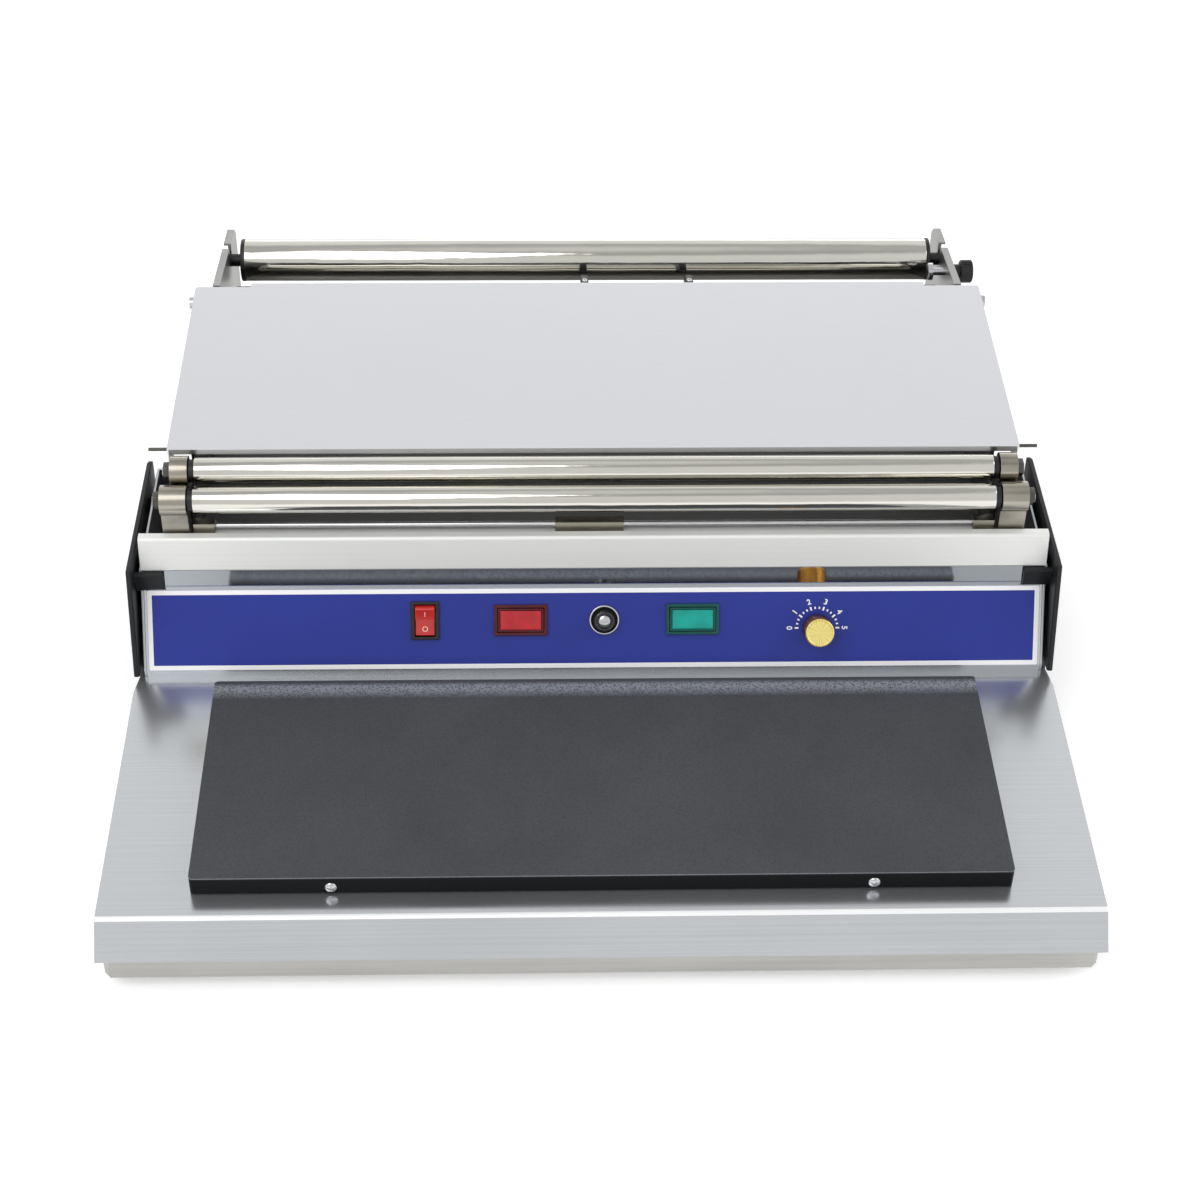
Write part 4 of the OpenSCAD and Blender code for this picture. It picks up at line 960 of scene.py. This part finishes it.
class WRAPPER_OT_hot_plate(bpy.types.Operator):
    """Makes the coated hot plate, its screws and its brackets"""
    bl_idname = "wrapper.hot_plate"
    bl_label = "Hot plate"

    def execute(self, context):
        low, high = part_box("hot_plate")
        screw_x = 0.143

        def corner(co, d):
            return abs(d.z) > STRAIGHT and abs(co.x) > high.x - NEAR and (co.y < low.y + NEAR or co.y > high.y - NEAR)

        def rim(co, d):
            return abs(d.z) < 0.1 and co.z > high.z - NEAR

        folded("hot_plate_pan", "hot_plate", "charcoal non-stick coating",
               [(2.2 * MM, 5, corner), (1.9 * MM, 6, rim)], 0.2 * MM)
        folded("hot_plate_angles", "hot_plate_brackets", "dark bracket paint", edge=0.3 * MM, least=0.002)
        z = axis_of("hot_plate_screws").z
        heads = [screw_piece("hot plate screw", [(x, y, z) for x in (-screw_x, screw_x)], out, 3.4, 1.95)
                 for y, out in ((low.y, -BACK), (high.y, BACK))]
        merged_pieces("hot_plate_screw_heads", heads, "base", "hot_plate_screws")
        return {"FINISHED"}


class WRAPPER_OT_panel(bpy.types.Operator):
    """Prints the blue control panel with its border and its dial"""
    bl_idname = "wrapper.panel"
    bl_label = "Control panel print"

    def execute(self, context):
        s = sizes()
        paint("control_label", "printed blue film")
        low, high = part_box("control_label")
        out, film = 0.4 * MM, 0.06 * MM
        border = frame_mesh("panel border", (high - low).x - 0.2 * MM, PANEL_LENGTH * MM - 0.8 * MM, s.border,
                            panel_matrix(0, PANEL_LENGTH / 2, out), film, 0.8 * MM)
        pieces = [finished(linked("panel border", border), "white print")]
        dial = panel_matrix(*KNOB, out + 0.04 * MM)
        for count, step, size in ((s.dial_ticks, math.pi / (s.dial_ticks - 1), (1.3 * MM, 0.85 * MM, film)),
                                  (6, math.pi / 5, (2.2 * MM, 1.0 * MM, 0.062 * MM))):
            pieces.append(on_arc("dial ticks", "white print", count, 11.8 * MM, step, size, dial))
        marks, reach = [], 15.8 * MM
        for i in range(6):
            a = math.pi - i * math.pi / 5
            at = dial @ Matrix.Translation((reach * math.cos(a), reach * math.sin(a), -0.03 * MM))
            marks.append(text_mesh(str(i), 4.5 * MM, film, at @ Matrix.Rotation(a - math.pi / 2, 4, "Z"), 0.09 * MM))
        pieces.append(finished(joined("dial numbers", marks), "white print"))
        merged_pieces("panel_print", pieces, "base", None)
        return {"FINISHED"}


class WRAPPER_OT_controls(bpy.types.Operator):
    """Makes the rocker switch, indicators, fuse and temperature knob"""
    bl_idname = "wrapper.controls"
    bl_label = "Switch, indicators, fuse and knob"

    def execute(self, context):
        self.switch()
        self.indicators()
        self.fuse()
        self.knob()
        return {"FINISHED"}

    def switch(self):
        folded("switch_bezel", "switch_body", "black moulded plastic", edge=0.45 * MM)
        folded("rocker_key", "rocker", "red switch plastic", [(0.5 * MM, 3, anywhere)], body="rocker")
        angle = math.radians(11)
        tilt = panel_matrix(*SWITCH, -1.5 * MM) @ Matrix.Rotation(angle, 4, "X")
        marks = []
        for sign, body in ((1, "I"), (-1, "O")):
            face = Matrix.Rotation(angle * sign, 4, "X")
            at = tilt @ Matrix.Translation((0, 0, 2.7 * MM)) @ face @ Matrix.Translation((0, sign * 4.6 * MM, 0))
            marks.append(text_mesh(body, 4.4 * MM, 0.08 * MM, at))
        dressed(settled(joined("rocker_marks", marks)), "switch marks", "rocker", None)

    def indicators(self):
        base = softened("indicator_housings", "indicator_bodies", [], 0.4 * MM)
        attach(base, "base")
        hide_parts("indicator_bodies")
        between = (RED_X * MM + GREEN_X * MM) / 2
        chosen(finished(base, "dark red bezel", "dark teal bezel"), lambda face: face.center.x >= between)
        for name, rim, x in (("red_lens", "dark red bezel", RED_X), ("green_lens", "dark teal bezel", GREEN_X)):
            at = (x, CONTROLS_UP)
            low, high = panel_box(name, at)
            steps = [(0, low.z, 0)] + [(inset * MM, high.z - drop * MM, kind) for inset, drop, kind in (
                (0, 0.5, 0), (0.15, 0.15, 0), (0.5, 0, 0), (0.9, 0, 0), (1.5, 0.7, 0), (1.7, 0.6, 1), (2.4, 0.45, 1))]
            cap = stepped_cap(name + "_cap", high.x - low.x, high.y - low.y, 0.9 * MM, steps, panel_matrix(*at))
            settled(finished(cap, rim, name.replace("_", " ") + " plastic"), 25)
            dressed(cap, None, "base", name)

    def fuse(self):
        folded("fuse_body", "fuse_holder", "black moulded plastic", least=0.002)
        ring = outline((0, 0, ((0.4, 6.06), (0.4, 8.7), (0.9, 8.8), (2.2, 8.75), (2.7, 8.5), (2.8, 8.2), (2.8, 7.8),
                               (2.3, 7.6), (1.7, 7.1), (1.4, 6.06))))
        bezel = finished(turned_on_panel("fuse_bezel_ring", ring, FUSE, closed=True), "plated hardware",
                         "black moulded plastic")
        axis = panel_matrix(*FUSE).inverted()
        chosen(bezel, lambda face: (axis @ face.center).xy.length <= 7.75 * MM)
        dressed(bezel, None, "base", "fuse_ring")
        low, high = panel_box("fuse_cap", FUSE)
        top, out, stem = high.z, high.x, 4.0 * MM
        shoulder = top - 4.6 * MM
        shell = [(low.z, 0), (low.z, stem), (shoulder, stem)] + outline(
            (shoulder, out, ((0, -0.3), (0.3, 0))), (top, out, ((-0.7, 0), (-0.2, -0.2), (0, -0.7))),
            (top, 0, ((0, 4.7), (-0.3, 4.4), (-1.5, 4.1), (-1.5, 0))))
        body = finished(turned_on_panel("cap shell", shell, FUSE), "glossy black cap")
        button = screw_mesh(3.9 * MM, 1.5 * MM, SLOT)
        button.transform(panel_matrix(*FUSE, top - 1.6 * MM) @ Matrix.Rotation(math.radians(12), 4, "Z"))
        contact = finished(settled(linked("cap contact", button)), "plated hardware")
        merged_pieces("fuse_cap_key", [body, contact], "fuse_cap", "fuse_cap")

    def knob(self):
        s = sizes()
        base, top, radius = 1.0 * MM, 16.0 * MM, 8.2 * MM
        profile = outline((base, 0, ((0, 0),)), (base, radius, ((0, -0.6), (0.5, 0))),
                          (top, radius, ((-1.1, 0), (-0.35, -0.1), (0, -0.5), (0, -0.9), (-0.25, -1.2))),
                          (top, 0, ((-0.25, 0),)))
        body = finished(turned_on_panel("knob body", profile, KNOB, count=96), "gold turned face", "gold knurled side")
        axis = panel_matrix(*KNOB).inverted()
        # The knob's side and knurls take the gold in painted shade; the face keeps the plain gold
        chosen(body, lambda face: (axis @ face.center).z <= top - 0.6 * MM)
        size = (0.55 * MM, 2 * math.pi * radius / s.knurls * 0.55, top - base - 2.6 * MM)
        ridges = on_arc("knob knurls", "gold knurled side", s.knurls, radius, 2 * math.pi / s.knurls, size,
                        panel_matrix(*KNOB, (base + top) / 2 - 0.2 * MM))
        merged_pieces("temperature_knob_body", [body, ridges], "temperature_knob", "temperature_knob")


class WRAPPER_OT_cutter(bpy.types.Operator):
    """Makes the cutter's channel, rod and clips and the guard bar"""
    bl_idname = "wrapper.cutter"
    bl_label = "Cutter and guard bar"

    def execute(self, context):
        s = sizes()
        for name, node, slot, bend, segments in (
                ("guard_bar", "cutter_guard", "guard_steel", s.bend, 6),
                ("cutter_rail", "cutter_channel", "stainless", s.bend * 0.8, 4)):
            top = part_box(node)[1].z - NEAR
            folded(name, node, "satin guard steel",
                   [(bend, segments, lambda co, d: along_x(d) and co.z > top)], s.edge)
        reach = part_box("cutter_rod")[1].x
        rod = turned_x("cutter_bar", [bar(reach, 1.6 * MM, 0.3 * MM)], axis_of("cutter_rod"), count=32)
        dressed(rod, "plated hardware", "base", "cutter_rod")
        folded("cutter_clamps", "cutter_clips", "bright cast metal", edge=0.35 * MM, least=0.0015)
        end, left, right = 222.2 * MM, -16.5 * MM, 9.5 * MM
        y, z = axis_of("clip_screws").y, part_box("clip_screws")[1].z - 1.2 * MM
        points = [(x, y, z) for x in (-end, left, right, end)]
        dressed(screw_piece("clamp_screw_heads", points, UP, 1.8, 1.15), None, "base", "clip_screws")
        return {"FINISHED"}


class WRAPPER_OT_front_rollers(bpy.types.Operator):
    """Turns the two front rollers with their bushes, shafts, brackets and nuts"""
    bl_idname = "wrapper.front_rollers"
    bl_label = "Front rollers and brackets"

    def execute(self, context):
        shafts, nuts = [], []
        shaft_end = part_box("roller_shafts")[1].x
        for side, inward, nut_x in (("lower", 0, 245.5), ("upper", 5, 240.5)):
            node = side + "_roller"
            at, radius, end = tube(node, 128)
            plug = outline((end, 0, ((-14, 3.05),)), (end, radius, ((-14, -1.3), (0, -1.3))),
                           (end, 0, ((0, 6.3), (0.2, 6.5), (3.0, 6.5), (3.2, 6.3), (3.2, 3.05))))
            dressed(turned_x(node + "_ends", [plug, mirrored(plug)], at, count=64, closed=True),
                    "black moulded plastic", node, node + "_bushes")
            shafts.append(lathe_mesh("shaft", bar(shaft_end - inward * MM, 3 * MM, 0.5 * MM), 48, False, turn_x(at)))
            for sign in (1, -1):
                nuts.append(on_points("shaft nut", "dark plated steel", nut_mesh(5.2 * MM, 4 * MM),
                                      [(sign * nut_x * MM, at.y, at.z)], sign * RIGHT))
        dressed(settled(joined("roller_spindles", shafts)), "plated hardware", "base", "roller_shafts")
        folded("roller_arms", "roller_brackets", "bright cast metal", edge=0.5 * MM, least=0.0008,
               angle=40)
        merged_pieces("shaft_nuts", nuts, "base", "roller_nuts")
        return {"FINISHED"}


class WRAPPER_OT_platform(bpy.types.Operator):
    """Folds the satin platform and makes its pivots and rest pads"""
    bl_idname = "wrapper.platform"
    bl_label = "Platform"

    def execute(self, context):
        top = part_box("platform")[1].z
        side = 0.243

        def rim(co, d):
            return abs(d.z) < 0.1 and co.z > top - NEAR

        def corner(co, d):
            return abs(d.z) > STRAIGHT and abs(abs(co.x) - side) < NEAR

        sheet = folded("platform_sheet", "platform", "satin platform steel",
                       [(1.2 * MM, 4, corner), (1.3 * MM, 5, rim)], 0.25 * MM, 0.003, body="platform")
        chosen(finished(sheet, "dark plated steel"), lambda face: abs(face.center.x) > side + NEAR)
        folded("platform_studs", "platform_pivots", "plated hardware", edge=0.3 * MM, least=0.00001,
               angle=50)
        folded("platform_rests", "rest_pads", "black rubber", [(0.5 * MM, 3, anywhere)], least=0.001)
        return {"FINISHED"}


class WRAPPER_OT_sides(bpy.types.Operator):
    """Makes the inner side plates and the black side covers with their screws"""
    bl_idname = "wrapper.sides"
    bl_label = "Side plates and covers"

    def execute(self, context):
        folded("side_sheets", "side_plates", "grey side steel", edge=0.3 * MM, least=0.003)
        folded("side_cover_sheets", "side_covers", "black side cover", [(0.7 * MM, 3, anywhere)],
               least=0.003)
        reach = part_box("cover_screws")[1].x - 1.6 * MM
        places = [place(0, y, h) for y, h in ((224, 25.5), (289, 43), (289, -8))]
        heads = [screw_piece("cover screw", [(sign * reach, at.y, at.z) for at in places], sign * RIGHT, 3.5, 1.5)
                 for sign in (1, -1)]
        merged_pieces("cover_screw_heads", heads, "base", "cover_screws")
        return {"FINISHED"}


class WRAPPER_OT_cradle(bpy.types.Operator):
    """Turns the cradle rollers, their end plugs and the film stops"""
    bl_idname = "wrapper.cradle"
    bl_label = "Film cradle and stops"

    def execute(self, context):
        for node in ("rear_roller", "middle_roller"):
            at, radius, end = tube(node, 160)
            plug = outline((end, 0, ((-16, 0),)),
                           (end, radius, ((-16, -1.3), (0, -1.3), (0, -0.3), (0.3, 0), (2.0, 0), (2.5, -0.5))),
                           (end, 0, ((2.5, 4),)), (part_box(node + "_plugs")[1].x, 0, ((-0.4, 4), (0, 3.6), (0, 0))))
            dressed(turned_x(node + "_ends", [plug, mirrored(plug)], at), "black moulded plastic", node,
                    node + "_plugs")
        for side in ("left", "right"):
            stop = "film_stop_" + side
            x0, (radius, x1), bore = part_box(stop)[0].x, round_size(stop), 13.56 * MM
            ring = [(x0, bore)] + outline((x0, radius, ((0, -0.6), (0.2, -0.2), (0.6, 0))),
                                          (x1, radius, ((-0.6, 0), (-0.2, -0.2), (0, -0.6)))) + [(x1, bore)]
            dressed(turned_x(stop + "_disc", [ring], at, count=128, closed=True), "black moulded plastic", stop, stop)
            node = "stop_screw_" + side
            points = [((x0 + x1) / 2, at.y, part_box(node)[1].z - 1.1 * MM)]
            dressed(screw_piece(node + "_head", points, UP, 1.8, 1.05, SLOT, 5), None, stop, node)
        return {"FINISHED"}


class WRAPPER_OT_brake(bpy.types.Operator):
    """Turns the brake spindle and its fluted knob"""
    bl_idname = "wrapper.brake"
    bl_label = "Brake knob"

    def execute(self, context):
        count = sizes().flutes
        at = axis_of("brake_knob")
        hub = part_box("brake_knob")[0].x
        radius, end = round_size("brake_knob")
        cap, radius = hub + 4.5 * MM, radius - 0.35 * MM
        profile = outline((hub, 0, ((0, 2.55), (0, 4.3), (0.3, 4.6))), (cap, 0, ((0, 4.6),)),
                          (cap, radius, ((0, -0.5), (0.5, 0))), (end, radius, ((-1.0, 0), (-0.3, -0.3), (0, -1.0))),
                          (end, 0, ((0, 0), (-2.2, 0), (-2.2, 2.55))))
        body = finished(turned_x("knob body", [profile], at, count=72, closed=True), "black moulded plastic")
        flutes = on_arc("knob flutes", "black moulded plastic", count, radius - 0.1 * MM, 2 * math.pi / count,
                        (0.85 * MM, 0.95 * MM, end - cap - 1.6 * MM),
                        turn_x(at) @ Matrix.Translation((0, 0, (cap + end) / 2)))
        merged_pieces("brake_knob_grip", [body, flutes], "brake_knob", "brake_knob")
        low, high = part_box("brake_spindle")
        pin = outline((low.x, 0, ((0, 0), (0, 5.2), (0.3, 5.5), (3, 5.5), (3, 2.5))),
                      (high.x, 0, ((-0.3, 2.5), (0, 2.2), (0, 0))))
        dressed(turned_x("brake_screw", [pin], at, count=48), "plated hardware", "brake_spindle", "brake_spindle")
        return {"FINISHED"}


class WRAPPER_OT_underside(bpy.types.Operator):
    """Makes the rubber feet and the cord gland and finishes the parts inside"""
    bl_idname = "wrapper.underside"
    bl_label = "Feet, gland and inner parts"

    def execute(self, context):
        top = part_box("feet")[1].z
        profile = outline((0, 0, ((0, 4.5), (0, 10.6), (0.4, 11.4), (1.2, 12))),
                          (top, 0, ((-0.6, 11.4), (0, 11), (0, 2.02))), (top / 2, 0, ((0, 2.02), (0, 4.5))))
        meshes = [lathe_mesh("foot", profile, 56, True, Matrix.Translation((x, y, 0))) for x, y in self.foot_places()]
        dressed(settled(joined("rubber_feet", meshes)), "black rubber", "base", "feet")
        folded("cord_gland_body", "cord_gland", "black moulded plastic", least=0.001)
        for node, name in (
                ("heater_pad", "woven heater mat"), ("heater_insulation", "pressed mineral wool"),
                ("heater_clamp", "plain grey steel"), ("thermostat_sensor", "copper tube"),
                ("indicator_lamps", "clear glass"), ("glass_fuse", "clear glass"), ("thermostat", "plain grey steel"),
                ("thermostat_shaft", "plated hardware"), ("transformer", "varnished iron core"),
                ("wiring", "blue wire sleeve"), ("foot_bolts", "plated hardware")):
            paint(node, name)
        return {"FINISHED"}

    @staticmethod
    def foot_places():
        """The middle of each foot, from the corners of the CAD feet."""
        low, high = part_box("feet")
        radius = 12 * MM
        rear_x = max(v.co.x for v in frame["nodes"]["feet"].data.vertices if v.co.y > 0)
        corners = ((high.x - radius, low.y + radius), (rear_x - radius, high.y - radius))
        return [(sign * x, y) for x, y in corners for sign in (1, -1)]


OPERATORS = (WRAPPER_OT_stage, WRAPPER_OT_sheet_metal, WRAPPER_OT_hot_plate, WRAPPER_OT_panel, WRAPPER_OT_controls,
             WRAPPER_OT_cutter, WRAPPER_OT_front_rollers, WRAPPER_OT_platform, WRAPPER_OT_sides, WRAPPER_OT_cradle,
             WRAPPER_OT_brake, WRAPPER_OT_underside)


class WRAPPER_PT_pieces(bpy.types.Panel):
    """Lists the wrapper's pieces and their settings"""
    bl_idname = "WRAPPER_PT_pieces"
    bl_label = "Film Wrapping Machine"
    bl_space_type = "VIEW_3D"
    bl_region_type = "UI"
    bl_category = "Wrapper"

    def draw(self, context):
        layout = self.layout
        for settings in (context.scene.wrapper_sizes, context.scene.wrapper_finish):
            for key in settings.__annotations__:
                layout.prop(settings, key)
        for operator in OPERATORS:
            layout.operator(operator.bl_idname)


CLASSES = (WrapperFinish, WrapperSizes) + OPERATORS + (WRAPPER_PT_pieces,)


def register():
    for cls in CLASSES:
        bpy.utils.register_class(cls)
    bpy.types.Scene.wrapper_finish = bpy.props.PointerProperty(type=WrapperFinish)
    bpy.types.Scene.wrapper_sizes = bpy.props.PointerProperty(type=WrapperSizes)


def unregister():
    del bpy.types.Scene.wrapper_sizes
    del bpy.types.Scene.wrapper_finish
    for cls in reversed(CLASSES):
        bpy.utils.unregister_class(cls)


def main():
    register()
    for operator in OPERATORS:
        group, name = operator.bl_idname.split(".")
        getattr(getattr(bpy.ops, group), name)()


if __name__ == "__main__":
    main()
